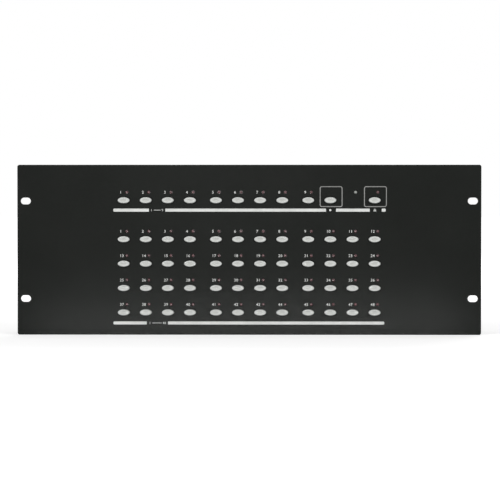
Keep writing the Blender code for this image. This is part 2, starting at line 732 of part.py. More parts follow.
def mains_inlet():
    """The power entry module: flange, body, inlet with three blades, fuse drawer, rocker well."""
    outline = rounded_rectangle(
        ENTRY_FLANGE_WIDTH, ENTRY_FLANGE_HEIGHT, ENTRY_FLANGE_CORNER, 3, INLET_X, CONNECTOR_Z
    )
    flange = plate_mesh("mains_inlet", [outline], FLANGE_SEAT, ENTRY_FLANGE_THICKNESS)
    obj = part("mains_inlet", flange, paint("inlet_plastic", (0.018, 0.018, 0.019), 0.38))
    bm = bmesh.new()
    half_x, half_z = ENTRY_BODY_WIDTH / 2, ENTRY_BODY_HEIGHT / 2
    add_box(
        bm,
        (INLET_X - half_x, CASE_BACK - ENTRY_BODY_DEPTH, CONNECTOR_Z - half_z),
        (INLET_X + half_x, FLANGE_SEAT + BITE, CONNECTOR_Z + half_z),
    )
    combine(obj, cutter("entry_body", finished(bm, "entry_body")), "UNION")
    bm = bmesh.new()
    fuse_z = CONNECTOR_Z - FUSE_DROP
    add_box(
        bm,
        (INLET_X - FUSE_WIDTH / 2, ENTRY_FACE - BITE, fuse_z - FUSE_HEIGHT / 2),
        (INLET_X + FUSE_WIDTH / 2, ENTRY_FACE + FUSE_PROUD, fuse_z + FUSE_HEIGHT / 2),
    )
    combine(obj, cutter("fuse_drawer", finished(bm, "fuse_drawer")), "UNION")
    mouth = plate_mesh(
        "inlet_mouth", [inlet_outline()], ENTRY_FACE - INLET_DEPTH, INLET_DEPTH + PAST
    )
    combine(obj, cutter("inlet_mouth", mouth), "DIFFERENCE")
    well_x = ROCKER_WIDTH / 2 + ROCKER_CLEARANCE
    well_z = math.hypot(ROCKER_HALF, ROCKER_END) + ROCKER_CLEARANCE
    well_depth = math.hypot(ROCKER_HUB_DEPTH, ROCKER_HUB_HALF) + ROCKER_CLEARANCE
    z = CONNECTOR_Z + ROCKER_RISE
    well = box_mesh(
        "rocker_well",
        (INLET_X - well_x, ROCKER_AXIS_Y - well_depth, z - well_z),
        (INLET_X + well_x, ENTRY_FACE + PAST, z + well_z),
    )
    combine(obj, cutter("rocker_well", well), "DIFFERENCE")
    bm = bmesh.new()
    floor = ENTRY_FACE - INLET_DEPTH
    z = CONNECTOR_Z - INLET_DROP
    blades = ((-BLADE_SPACING / 2, -BLADE_RISE), (BLADE_SPACING / 2, -BLADE_RISE), (0.0, BLADE_RISE))
    for right, up in blades:
        x = INLET_X + right
        low = (x - BLADE_WIDTH / 2, floor - BITE, z + up - BLADE_HEIGHT / 2)
        high = (x + BLADE_WIDTH / 2, floor + BLADE_LENGTH, z + up + BLADE_HEIGHT / 2)
        add_box(bm, low, high)
    combine(obj, cutter("inlet_blades", finished(bm, "inlet_blades")), "UNION")


def power_rocker():
    """The rocker, with a shallow valley in its face, lying at its off position."""
    side = [
        (-ROCKER_HALF, ROCKER_END),
        (0.0, ROCKER_VALLEY),
        (ROCKER_HALF, ROCKER_END),
        (ROCKER_HALF, -ROCKER_VALLEY),
        (ROCKER_HUB_HALF, -ROCKER_HUB_DEPTH),
        (-ROCKER_HUB_HALF, -ROCKER_HUB_DEPTH),
        (-ROCKER_HALF, -ROCKER_VALLEY),
    ]
    bm = bmesh.new()
    face = bm.faces.new([bm.verts.new((-ROCKER_WIDTH / 2, y, z)) for z, y in side])
    raised = bmesh.ops.extrude_face_region(bm, geom=[face])["geom"]
    lifted = [item for item in raised if isinstance(item, bmesh.types.BMVert)]
    bmesh.ops.translate(bm, verts=lifted, vec=(ROCKER_WIDTH, 0.0, 0.0))
    mesh = finished(bm, "power_rocker")
    place = (INLET_X, ROCKER_AXIS_Y, CONNECTOR_Z + ROCKER_RISE)
    obj = part("power_rocker", mesh, paint("rocker_plastic", (0.03, 0.03, 0.03), 0.3), place)
    obj.rotation_euler.x = -ROCKER_TILT


def socket_flange(name, x, colour):
    """The rectangular flange of a data socket, as a part."""
    outline = rounded_rectangle(
        SOCKET_FLANGE_WIDTH, SOCKET_FLANGE_HEIGHT, SOCKET_FLANGE_CORNER, 3, x, CONNECTOR_Z
    )
    mesh = plate_mesh(name, [outline], FLANGE_SEAT, SOCKET_FLANGE_THICKNESS)
    return part(name, mesh, paint(f"{name}_metal", colour, 0.35, 0.6))


def barrel_mesh(name):
    """The barrel that passes through the rear wall."""
    radius = SOCKET_BARREL / 2
    front, back = CASE_BACK - SOCKET_BARREL_DEPTH, FLANGE_SEAT + BITE
    return turned_mesh(name, [(0.0, back), (radius, back), (radius, front), (0.0, front)], SOCKET_SIDES)


def pin_places(x):
    """The three contacts of a data socket, on a circle about its axis."""
    radius = SOCKET_PIN_CIRCLE / 2
    for angle in (math.radians(30), math.radians(150), math.radians(270)):
        yield x + radius * math.cos(angle), CONNECTOR_Z + radius * math.sin(angle)


def data_input():
    """The male socket: a round recess with three pins standing in it."""
    obj = socket_flange("dmx_in_socket", SOCKET_IN_X, (0.25, 0.25, 0.26))
    place = (SOCKET_IN_X, 0.0, CONNECTOR_Z)
    combine(obj, cutter("input_barrel", barrel_mesh("input_barrel"), place), "UNION")
    face = FLANGE_SEAT + SOCKET_FLANGE_THICKNESS
    floor = face - SOCKET_BORE_DEPTH
    radius = SOCKET_BORE / 2
    profile = [(0.0, face + PAST), (radius, face + PAST), (radius, floor), (0.0, floor)]
    bore = turned_mesh("input_bore", profile, SOCKET_SIDES)
    combine(obj, cutter("input_bore", bore, place), "DIFFERENCE")
    bm = bmesh.new()
    for x, z in pin_places(SOCKET_IN_X):
        front, back = floor - BITE, floor + SOCKET_PIN_LENGTH
        add_prism(bm, SOCKET_PIN_SIDES, SOCKET_PIN / 2, front, back, x, z)
    combine(obj, cutter("input_pins", finished(bm, "input_pins")), "UNION")


def data_output():
    """The female socket: an insert with three contact holes inside a ring-shaped groove."""
    obj = socket_flange("dmx_out_socket", SOCKET_OUT_X, (0.25, 0.25, 0.26))
    place = (SOCKET_OUT_X, 0.0, CONNECTOR_Z)
    combine(obj, cutter("output_barrel", barrel_mesh("output_barrel"), place), "UNION")
    face = FLANGE_SEAT + SOCKET_FLANGE_THICKNESS
    floor = face - SOCKET_BORE_DEPTH
    outer, inner = SOCKET_BORE / 2, SOCKET_INSERT / 2
    profile = [
        (inner, face + PAST),
        (outer, face + PAST),
        (outer, floor),
        (inner, floor),
        (inner, face + PAST),
    ]
    groove = turned_mesh("output_groove", profile, SOCKET_SIDES)
    combine(obj, cutter("output_groove", groove, place), "DIFFERENCE")
    bm = bmesh.new()
    for x, z in pin_places(SOCKET_OUT_X):
        front, back = face - SOCKET_PIN_LENGTH, face + PAST
        add_prism(bm, SOCKET_PIN_SIDES, SOCKET_PIN_HOLE / 2, front, back, x, z)
    combine(obj, cutter("output_contacts", finished(bm, "output_contacts")), "DIFFERENCE")
    latch_z = CONNECTOR_Z + (SOCKET_BORE / 2 + SOCKET_FLANGE_HEIGHT / 2) / 2
    latch = box_mesh(
        "output_latch",
        (SOCKET_OUT_X - LATCH_WIDTH / 2, face - BITE, latch_z - LATCH_HEIGHT / 2),
        (SOCKET_OUT_X + LATCH_WIDTH / 2, face + LATCH_PROUD, latch_z + LATCH_HEIGHT / 2),
    )
    combine(obj, cutter("output_latch", latch), "UNION")


def power_supply():
    """The open-frame supply: its board on four standoffs, with a transformer, coils and sinks."""
    right = INLET_X - ENTRY_BODY_WIDTH / 2 - SUPPLY_CLEAR
    left = right - SUPPLY_WIDTH
    back = CASE_BACK - SHEET - SUPPLY_CLEAR / 2
    front = back - SUPPLY_LENGTH
    floor = CASE_BOTTOM + SHEET + FIT
    under = floor + SUPPLY_STANDOFF
    over = under + BOARD_THICKNESS
    board = box_mesh("power_supply", (left, front, under), (right, back, over))
    obj = part("power_supply", board, paint("supply_board", (0.20, 0.12, 0.03), 0.55))
    bm = bmesh.new()
    for x in (left + SPACER_EDGE, right - SPACER_EDGE):
        for y in (front + SPACER_EDGE, back - SPACER_EDGE):
            add_post(bm, SPACER_SIDES, SPACER_DIAMETER / 2, floor, under + BITE, x, y)
    for width, depth, height, across, along in SUPPLY_BLOCKS.values():
        x, y = left + across, front + along
        low = (x - width / 2, y - depth / 2, over - BITE)
        add_box(bm, low, (x + width / 2, y + depth / 2, over + height))
    for across, along in SUPPLY_CAPACITORS:
        x, y = left + across, front + along
        radius = SUPPLY_CAPACITOR_DIAMETER / 2
        add_post(bm, CAPACITOR_SIDES, radius, over - BITE, over + SUPPLY_CAPACITOR_LENGTH, x, y)
    combine(obj, cutter("supply_fittings", finished(bm, "supply_fittings")), "UNION")


front_panel()
keys()
key_board()
control_board()
case_body()
top_cover()
mains_inlet()
power_rocker()
data_input()
data_output()
power_supply()
bpy.context.view_layer.update()
print("pieces", sum(1 for obj in PARTS.objects if obj.type == "MESH"))
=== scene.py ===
# %% [markdown]
# # A rack panel full of keys
#
# The object is a control panel for a 19-inch rack: a black plate with four slots in its ears,
# rows of pale oval keys with a red lamp and a number above each, and white lines between the rows.
# Behind it is a shallow steel case with a mains inlet, a switch and two round data sockets.
#
# The plain shapes already exist as a measured frame. This lesson builds finer meshes in the same
# places, prints the numbers, and makes a finish for each surface.

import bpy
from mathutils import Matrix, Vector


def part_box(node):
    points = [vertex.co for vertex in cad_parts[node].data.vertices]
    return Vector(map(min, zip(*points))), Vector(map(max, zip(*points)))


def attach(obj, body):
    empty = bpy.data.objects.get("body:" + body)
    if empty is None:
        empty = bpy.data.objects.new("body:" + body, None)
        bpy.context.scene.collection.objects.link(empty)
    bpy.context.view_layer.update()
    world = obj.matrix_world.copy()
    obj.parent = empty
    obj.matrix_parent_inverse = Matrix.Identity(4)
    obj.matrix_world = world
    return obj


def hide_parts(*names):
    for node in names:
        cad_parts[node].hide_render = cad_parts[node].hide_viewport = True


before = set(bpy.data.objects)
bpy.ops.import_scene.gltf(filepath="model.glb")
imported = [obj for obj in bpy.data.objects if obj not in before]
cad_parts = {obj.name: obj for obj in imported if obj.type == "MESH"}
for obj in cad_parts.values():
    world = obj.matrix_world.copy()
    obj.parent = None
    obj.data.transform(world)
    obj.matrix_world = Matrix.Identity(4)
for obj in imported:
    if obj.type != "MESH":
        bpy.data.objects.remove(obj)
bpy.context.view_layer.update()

# %% Modules and the unit
from math import cos, hypot, pi, radians, sin, sqrt

import bmesh
import bpy
from mathutils import Matrix, Vector

MM = 0.001


# %% Several settings at once
def set_up(thing, **settings):
    """Changes some settings of a thing and returns it."""
    for name, value in settings.items():
        setattr(thing, name, value)
    return thing


# %% [markdown]
# ## Where things are
#
# A maker dimensions a panel in millimetres from a corner or from its centre. Here every piece is
# drawn from the centre of the plate's front face, X to the right, Y backwards and Z up, and only
# then brought to Blender's metres. Each place is read from the frame, because a place that is typed
# again stays behind when the frame changes.

# %% The plate and its centre
plate_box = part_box("front_panel")
CENTRE = Vector((0.0, plate_box[0].y, (plate_box[0].z + plate_box[1].z) / 2))


def seen_box(node):
    """A node's lowest and highest corner, in millimetres from the centre."""
    return [(corner - CENTRE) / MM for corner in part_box(node)]


def measured(node):
    """A node's middle to the right and up, its width and height, its front and its back."""
    low, high = seen_box(node)
    middle, size = (low + high) / 2, high - low
    return middle.x, middle.z, size.x, size.z, low.y, high.y


_, _, PLATE_WIDTH, PLATE_HEIGHT, _, PLATE_BACK = measured("front_panel")
print("plate", [round(v, 1) for v in (PLATE_WIDTH, PLATE_HEIGHT, PLATE_BACK)], "mm")

# %% The keys' places
CHANNELS = 48
COLUMNS = 12
SCENES = 9
key_nodes = [*(f"key_{n:02d}" for n in range(1, CHANNELS + 1)), "record_key", "lock_key"]
*channel_places, record_place, lock_place = [measured(node)[:2] for node in key_nodes]
scene_places = [(x, record_place[1]) for x, _ in channel_places[:SCENES]]
status_place = (channel_places[COLUMNS - 2][0], record_place[1])
key_places = [*channel_places, *scene_places, record_place, lock_place]
print("key columns", [round(x, 1) for x, _ in channel_places[:COLUMNS]])

# %% [markdown]
# ## Shader sums as plain Python
#
# A finish is a small calculation: so much grain here, a little more wear there. Wiring Math nodes
# one by one hides that, so one class wraps a socket and turns plus, minus and times into nodes.
# Colours never go through a Math node, which would turn them grey: they are mixed.


# %% A socket that can be calculated with
class Wire:
    """An output socket of a node tree. Sums and products of wires add Math nodes."""

    def __init__(self, board, socket):
        self.board, self.socket = board, socket

    def __add__(self, other):
        return self.board.maths("ADD", self, other)

    def __sub__(self, other):
        return self.board.maths("SUBTRACT", self, other)

    def __rsub__(self, other):
        return self.board.maths("SUBTRACT", other, self)

    def __mul__(self, other):
        return self.board.maths("MULTIPLY", self, other)

    __radd__ = __add__
    __rmul__ = __mul__


# %% A board that nodes are placed on
class Board:
    """A node tree, and the few ways to add nodes to it."""

    def __init__(self, tree):
        self.tree = tree

    def node(self, kind, sockets=None, output=0, **settings):
        """Adds a node: first its settings, then a value or a wire for each named socket."""
        node = set_up(self.tree.nodes.new("ShaderNode" + kind), **settings)
        for name, value in (sockets or {}).items():
            self.feed(node.inputs[name], value)
        return Wire(self, node.outputs[output])

    def feed(self, socket, value):
        if isinstance(value, Wire):
            self.tree.links.new(value.socket, socket)
        else:
            socket.default_value = value

    def maths(self, operation, *values):
        return self.node("Math", dict(enumerate(values)), operation=operation)

    def step(self, value, low, high):
        """0 below low, 1 above high, and a soft rise between."""
        sockets = {"Value": value, "From Min": low, "From Max": high}
        return self.node("MapRange", sockets, interpolation_type="SMOOTHSTEP")

    def blend(self, factor, first, second):
        """A colour between two colours."""
        first, second = [c if isinstance(c, Wire) else (*c, 1.0) for c in (first, second)]
        return self.node("Mix", {0: factor, 6: first, 7: second}, 2, data_type="RGBA")

    def split(self, vector):
        """The three numbers of a vector."""
        axes = self.node("SeparateXYZ", {"Vector": vector}).socket.node
        return [Wire(self, output) for output in axes.outputs]


# %% A finish
class Finish(Board):
    """A material with one Principled shader. Its grain, bumps and chips are sized in millimetres."""

    def __init__(self, name, **constants):
        self.material = bpy.data.materials.new(name)
        self.material.use_nodes = True
        super().__init__(self.material.node_tree)
        self.shader = self.tree.nodes["Principled BSDF"]
        self.place = self.node("TexCoord", output="Object")
        self.wear(**constants)

    def wear(self, **sockets):
        """Feeds the shader's sockets, named with underscores for spaces. Returns the material."""
        for socket, value in sockets.items():
            self.feed(self.shader.inputs[socket.replace("_", " ")], value)
        return self.material

    def noise(self, size, detail=2.0):
        """Soft noise whose patches are about size across."""
        return self.node("TexNoise", {"Vector": self.place, "Scale": 1 / (size * MM), "Detail": detail})

    def bump(self, height, depth):
        """A normal that leans with a height between 0 and 1, which stands for depth."""
        return self.node("Bump", {"Height": height, "Distance": depth * MM})

    def chips(self, box, width):
        """1 where the coat has come off an edge of a box, in a few stretches of small chips."""
        gaps = []
        for value, start, end in zip(self.split(self.place), *box):
            off_middle = self.maths("ABSOLUTE", value - (start + end) / 2)
            gaps.append(self.maths("ABSOLUTE", (end - start) / 2 - off_middle))
        nearer = self.maths("MINIMUM", gaps[0], gaps[1])
        farther = self.maths("MAXIMUM", gaps[0], gaps[1])
        from_edge = self.maths("MAXIMUM", nearer, self.maths("MINIMUM", farther, gaps[2]))
        along = self.step(from_edge, width * MM, width * MM * 0.3)
        stretch = self.step(self.noise(45), 0.50, 0.62)
        bits = self.step(self.noise(1.3, 6.0), 0.55, 0.62)
        return along * stretch * bits


# %% [markdown]
# ## Satin black paint on the plate
#
# Rack plates are aluminium with a thin black coat. It has a fine grain that spreads reflections,
# faint patches where hands have polished it, and bright specks where it has chipped off the edge.
# An image would hold all that, but noise needs no file and stays sharp at any distance. Along a
# box's edges two of the three distances to its sides are small, so chips follow the second smallest.

# %% Satin paint
paint = Finish("satin_black_paint", Specular_IOR_Level=0.12)
patches = paint.noise(60, 3.0)
grain = paint.noise(0.6, 3.0)
chips = paint.chips(plate_box, 0.5)
shade = 0.6 * patches + 0.4 * grain
coat = paint.blend(paint.step(shade, 0.3, 0.7), (0.0043, 0.0054, 0.0042), (0.0074, 0.0086, 0.0072))
plate_finish = paint.wear(
    Base_Color=paint.blend(chips, coat, (0.30, 0.31, 0.31)),
    Metallic=chips,
    Roughness=0.30 + 0.08 * patches + 0.10 * grain,
    Normal=paint.bump(grain, 0.035),
)
print("finish", plate_finish.name)

# %% [markdown]
# ## Meshes with softened edges
#
# A milled or moulded plate has a tiny round along every edge, and its line of light makes it look
# solid. A Bevel modifier could add it, but among a hundred holes it meets thousands of thin
# triangles. So it is drawn directly, from outlines that can be asked for a little larger or smaller.


# %% Outlines
def full_turn(steps):
    return [2 * pi * i / steps for i in range(steps)]


def quarter_turn(steps):
    return [i / steps * pi / 2 for i in range(steps + 1)]


def ellipse(width, height, sides, x=0.0, z=0.0):
    """An outline function: grown by a distance, it gives points round an ellipse."""

    def grown(by=0.0):
        across, up = width / 2 + by, height / 2 + by
        return [(x + across * cos(a), z + up * sin(a)) for a in full_turn(sides)]

    return grown


def rounded(width, height, corner, steps, x=0.0, z=0.0, left_corner=None):
    """An outline function for a rectangle with round corners, its left ones perhaps different."""

    def grown(by=0.0):
        points = []
        for quarter, (sx, sz) in enumerate(((1, 1), (-1, 1), (-1, -1), (1, -1))):
            own = left_corner if left_corner and sx < 0 else corner
            radius = max(own + by, 0.01)
            right, up = x + sx * (width / 2 - own), z + sz * (height / 2 - own)
            for angle in quarter_turn(steps):
                angle += quarter * pi / 2
                points.append((right + radius * cos(angle), up + radius * sin(angle)))
        return points

    return grown


# %% A skin over rings, and a plate with softened edges
def add_skin(bm, rings):
    """Adds faces from each ring of points to the next. A ring of one point is a tip."""
    rings = [[bm.verts.new(point) for point in ring] for ring in rings]
    for ring, after in zip(rings, rings[1:]):
        for i in range(max(len(ring), len(after))):
            j = i - 1
            corners = [loop[k % len(loop)] for loop, k in ((ring, j), (ring, i), (after, i), (after, j))]
            bm.faces.new(list(dict.fromkeys(corners)))
    return rings


def at_depth(outline, depth, by=0.0):
    return [(x, depth, z) for x, z in outline(by)]


def add_plate(bm, outer, front, back, edge, steps=2, holes=()):
    """Adds a plate from one depth to another, its edges rounded by a quarter circle."""
    angles = quarter_turn(steps)
    section = [(front + edge * (1 - cos(a)), edge * (1 - sin(a))) for a in angles]
    section += [(back - edge * (1 - sin(a)), edge * (1 - cos(a))) for a in angles]
    rims = ([], [])
    for outline, sign in [(outer, -1)] + [(hole, 1) for hole in holes]:
        rings = add_skin(bm, [at_depth(outline, depth, sign * inset) for depth, inset in section])
        for rim, ring in zip(rims, (rings[0], rings[-1])):
            rim += [bm.edges.get((ring[i - 1], vert)) for i, vert in enumerate(ring)]
    for rim, way in zip(rims, (-1.0, 1.0)):
        bmesh.ops.triangle_fill(bm, edges=rim, use_beauty=True, normal=(0.0, way, 0.0))


# %% Turned and boxed shapes
def add_turned(bm, profile, sides, x=0.0, z=0.0):
    """Adds a lathe shape about the depth axis, from (radius, depth) points."""
    add_skin(bm, [
        [(x + r * cos(a), depth, z + r * sin(a)) for a in (full_turn(sides) if r else [0.0])]
        for r, depth in profile
    ])


def add_block(bm, x, z, width, height, front, back, edge):
    """Adds a block with softened edges from one depth to another, its middle at x and z."""
    middle = Matrix.Translation((x, (front + back) / 2, z))
    stretched = middle @ Matrix.Diagonal((width, back - front, height, 1.0))
    verts = bmesh.ops.create_cube(bm, size=1.0, matrix=stretched)["verts"]
    edges = list(dict.fromkeys(e for vert in verts for e in vert.link_edges))
    bmesh.ops.bevel(bm, geom=edges, offset=edge, segments=2, profile=0.5, affect="EDGES")


# %% From mesh to piece
def put(name, data):
    """Makes an object of some data and links it to the scene."""
    obj = bpy.data.objects.new(name, data)
    bpy.context.scene.collection.objects.link(obj)
    return obj


def piece(name, bm, finish, node=None, body="housing", sharp=35.0):
    """Makes a drawn mesh a piece, which rides on a body and may stand for a node."""
    bmesh.ops.scale(bm, vec=(MM, MM, MM), verts=bm.verts)
    bmesh.ops.recalc_face_normals(bm, faces=bm.faces)
    bmesh.ops.translate(bm, vec=CENTRE, verts=bm.verts)
    mesh = bpy.data.meshes.new(name)
    bm.to_mesh(mesh)
    bm.free()
    mesh.shade_smooth()
    mesh.set_sharp_from_angle(angle=radians(sharp))
    mesh.materials.append(finish)
    obj = put(name, mesh)
    obj.modifiers.new("even_normals", "WEIGHTED_NORMAL").keep_sharp = True
    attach(obj, body)
    if node:
        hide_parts(node)
    return obj


# %% [markdown]
# ## The front plate
#
# The real plate is cut by laser or router: four slots in the ears, an oval hole round each key and a
# round hole for each lamp. Cutting 122 holes with Boolean modifiers is slow and leaves ragged
# shading. The plate is flat, so its outline and all its holes are filled at once.

# %% Cut the plate
PLATE_CORNER = 2.2
PLATE_EDGE = 0.25
KEY_WIDTH = 12.5
KEY_HEIGHT = 6.4
KEY_AIR = 0.3
LAMP_WIDTH = 3.0
LAMP_HOLE = LAMP_WIDTH + 2 * 0.3
LAMP_RIGHT = 3.2
LAMP_RISE = 8.3
SLOT_LENGTH = 10.5
SLOT_HEIGHT = 7.0
SLOT_CORNER = 3.49
SLOT_RIGHT = PLATE_WIDTH / 2 - 8.75
SLOT_RISE = 101.6 / 2

lit_places = [*channel_places, *scene_places, lock_place, status_place]
*red_places, pale_place = [(x + LAMP_RIGHT, z + LAMP_RISE) for x, z in lit_places]
holes = [
    rounded(SLOT_LENGTH, SLOT_HEIGHT, SLOT_CORNER, 10, side * SLOT_RIGHT, level * SLOT_RISE)
    for side in (-1, 1) for level in (-1, 1)
]
for x, z in key_places:
    holes.append(ellipse(KEY_WIDTH + 2 * KEY_AIR, KEY_HEIGHT + 2 * KEY_AIR, 36, x, z))
for x, z in (*red_places, pale_place):
    holes.append(ellipse(LAMP_HOLE, LAMP_HOLE, 18, x, z))
bm = bmesh.new()
outer = rounded(PLATE_WIDTH, PLATE_HEIGHT, PLATE_CORNER, 8)
add_plate(bm, outer, 0.0, PLATE_BACK, PLATE_EDGE, holes=holes)
plate = piece("front_plate", bm, plate_finish, "front_panel")
print("plate faces", len(plate.data.polygons))

# %% [markdown]
# ## The oval keys
#
# Each key is an injection-moulded cap: an oval with a rounded shoulder and a shallow dish for the
# fingertip, in pale grey plastic. Close to the plate its sides are darker: dust, and painted shade of
# the gap round the hole. Fingers polish the dish and tint its middle darker: finger grime, and painted
# shade of the dish. Generated coordinates run from 0 to 1 across each object, so one material finds
# the middle of every cap. A stretched sphere would look like a pill, so the cap is lofted from ovals.

# %% Pale key plastic
plastic = Finish("pale_key_plastic", Specular_IOR_Level=0.4)
# Close to the plate the cap is darker: dust, and painted shade of the gap round its hole.
dust_and_gap_shade = plastic.step(plastic.split(plastic.place)[1] - CENTRE.y, -1.2 * MM, 0.6 * MM)
shade = plastic.noise(18, 3.0)
texture = plastic.noise(0.16)
across = plastic.node("TexCoord", output="Generated")
flat = plastic.node("VectorMath", {0: across, 1: (1.0, 0.0, 1.0)}, operation="MULTIPLY")
from_middle = plastic.node("VectorMath", {0: flat, 1: (0.5, 0.0, 0.5)}, 1, operation="DISTANCE")
# The middle of the dish: polished by fingers, and darkened with finger grime and painted shade of the dish.
polished_and_shaded_dish = plastic.step(from_middle + 0.12 * shade, 0.42, 0.20)
clean = plastic.blend(shade, (0.615, 0.632, 0.612), (0.675, 0.688, 0.666))
# The middle of each cap is tinted darker: finger grime, and painted shade of the dish.
handled = plastic.blend(polished_and_shaded_dish * 0.5, clean, (0.46, 0.47, 0.43))
key_finish = plastic.wear(
    Base_Color=plastic.blend(dust_and_gap_shade * 0.55, handled, (0.20, 0.20, 0.18)),
    Roughness=0.44 + 0.12 * shade - 0.16 * polished_and_shaded_dish,
    Normal=plastic.bump(texture, 0.010),
)

# %% Loft a cap
*_, key_front, KEY_END = measured("key_01")
KEY_PROUD = -key_front
CAP_WIDTH = KEY_WIDTH - 0.3
CAP_HEIGHT = KEY_HEIGHT - 0.2
BOSS_START = KEY_END - 2.0
BOSS_WIDTH = 3.4
SHOULDER = 0.9
DISH = 0.6
CAP_SIDES = 40


def add_cap(bm, x, z):
    """Adds one cap: dish, shoulder and sides, closed at the back, and the boss behind it."""
    flat_width, flat_height = CAP_WIDTH - 2 * SHOULDER, CAP_HEIGHT - 2 * SHOULDER
    sections = []
    for share in (0.2, 0.4, 0.6, 0.8):
        sections.append((flat_width * share, flat_height * share, DISH * (1 - share**2) - KEY_PROUD))
    for angle in quarter_turn(5):
        grow = 2 * SHOULDER * sin(angle)
        sections.append((flat_width + grow, flat_height + grow, SHOULDER * (1 - cos(angle)) - KEY_PROUD))
    sections.append((CAP_WIDTH, CAP_HEIGHT, BOSS_START))
    rings = [at_depth(ellipse(w, h, CAP_SIDES, x, z), depth) for w, h, depth in sections]
    rings = add_skin(bm, [[(x, DISH - KEY_PROUD, z)], *rings])
    bm.faces.new(rings[-1])
    add_block(bm, x, z, BOSS_WIDTH, BOSS_WIDTH, BOSS_START, KEY_END, 0.2)


# %% Put the caps on their keys
caps = [("cap_" + node, node, measured(node)[:2]) for node in key_nodes]
caps += [(f"scene_cap_{n}", "key_board", place) for n, place in enumerate(scene_places, start=1)]
for name, node, place in caps:
    bm = bmesh.new()
    add_cap(bm, *place)
    body = "housing" if node == "key_board" else node
    piece(name, bm, key_finish, node, body, 50.0)
print(len(caps), "caps,", round(KEY_PROUD, 1), "mm proud")

# %% [markdown]
# ## The lamps
#
# Each lamp is a three-millimetre diode whose round lens just fills its hole. Unlit, a red lens is a
# dark wine colour, and only its dome catches the light. Real lenses are clear epoxy, but one this
# small shows only a dark core, so a glossy opaque lens in two shades looks the same without noise.


# %% Lens finishes
def lens(name, rim, core, rough):
    epoxy = Finish(name, Coat_Weight=0.7, Coat_Roughness=0.10, Specular_IOR_Level=0.5)
    cloud = epoxy.noise(5)
    scratches = epoxy.noise(0.3, 3.0)
    return epoxy.wear(
        Base_Color=epoxy.blend(epoxy.step(cloud, 0.35, 0.65), rim, core),
        Roughness=rough + 0.10 * scratches,
    )


red_lens = lens("red_lens", (0.090, 0.014, 0.019), (0.060, 0.007, 0.011), 0.16)
pale_lens = lens("pale_lens", (0.34, 0.36, 0.33), (0.21, 0.22, 0.20), 0.25)

# %% Turn the lenses
LAMP_PROUD = 0.5
LENS_RIM = 1.8
RIM_FRONT = PLATE_BACK + 0.3
RIM_BACK = RIM_FRONT + 1.0

for name, places, finish in (("red_lamps", red_places, red_lens), ("status_lamp", [pale_place], pale_lens)):
    radius = LAMP_WIDTH / 2
    profile = [(radius * sin(a), LAMP_PROUD * (1 - 2 * cos(a))) for a in quarter_turn(5)]
    profile += [(radius, RIM_FRONT), (LENS_RIM, RIM_FRONT), (LENS_RIM, RIM_BACK), (0.0, RIM_BACK)]
    bm = bmesh.new()
    for place in places:
        add_turned(bm, profile, 20, *place)
    piece(name, bm, finish, "key_board")
    print(len(places), "lenses in", name)

# %% [markdown]
# ## White print
#
# Numbers and lines are screen-printed in a thin, slightly rough ink that isn't quite pure white.
# Painting them in the plate's shader would need a mask for every digit. Blender has a built-in shape
# for each, so the print is real, very thin geometry on the paint.


# %% Printing ink
def printing_ink(name, light, dark):
    ink = Finish(name, Specular_IOR_Level=0.3)
    speckle = ink.noise(0.35, 3.0)
    cover = ink.noise(9)
    return ink.wear(
        Base_Color=ink.blend(ink.step(speckle * 0.5 + cover * 0.5, 0.35, 0.65), dark, light),
        Roughness=0.55 + 0.15 * speckle,
    )


white_ink = printing_ink("white_ink", (0.80, 0.81, 0.79), (0.69, 0.70, 0.68))
fine_ink = printing_ink("fine_line_ink", (0.38, 0.38, 0.37), (0.28, 0.28, 0.27))
INK = 0.03


def add_ink(bm, outline, *holes):
    add_plate(bm, outline, -INK, INK, 0.01, 1, holes)


# %% Set numbers in type
TYPE_WEIGHT = 0.011
TYPE_SPACING = 1.1


def type_mesh(words):
    """The filled outlines of some words, one unit of type high."""
    curve = bpy.data.curves.new("type", "FONT")
    set_up(curve, body=words, offset=TYPE_WEIGHT, extrude=1.0, space_character=TYPE_SPACING, resolution_u=3)
    setter = put("type", curve)
    bpy.context.view_layer.update()
    mesh = bpy.data.meshes.new_from_object(setter.evaluated_get(bpy.context.evaluated_depsgraph_get()))
    bpy.data.objects.remove(setter)
    bpy.data.curves.remove(curve)
    return mesh


heights = [vert.co.y for vert in type_mesh("8").vertices]
DIGIT_LOW, DIGIT_HIGH = min(heights), max(heights)


def add_type(bm, words, height, x, z):
    """Prints words of a height, from a pen that starts at x, middle at z."""
    mesh = type_mesh(words)
    scale = height / (DIGIT_HIGH - DIGIT_LOW)
    for vert in mesh.vertices:
        up = (vert.co.y - (DIGIT_LOW + DIGIT_HIGH) / 2) * scale
        vert.co = (x + vert.co.x * scale, -INK * vert.co.z, z + up)
    bm.from_mesh(mesh)
    bpy.data.meshes.remove(mesh)


# %% Print the numbers
NUMBER_HEIGHT = 2.9
NUMBER_LEFT = -4.1

bm = bmesh.new()
for places in (channel_places, scene_places):
    for number, (x, z) in enumerate(places, start=1):
        add_type(bm, str(number), NUMBER_HEIGHT, x + NUMBER_LEFT, z + LAMP_RISE)
piece("printed_numbers", bm, white_ink)
print("printed", CHANNELS + SCENES, "numbers")

# %% Print the lines and the boxes
BAR_HEIGHT = 3.2
BAR_END = 1.1
BAR_GAP = 0.3
SCENE_RISE = 41.3
CHANNEL_RISE = -76.2
SCENE_BARS = ((-141.3, -104.2), (-87.1, 80.0), (90.4, 125.4), (137.9, 142.0))
CHANNEL_BARS = ((-141.3, -106.6), (-84.4, 140.7))
BOX_WIDTH = 22.8
BOX_HEIGHT = 20.7
BOX_LINE = 0.8
BOX_RISE = 3.75
BOX_RIGHT = 0.8
BOX_CORNER = 2.2

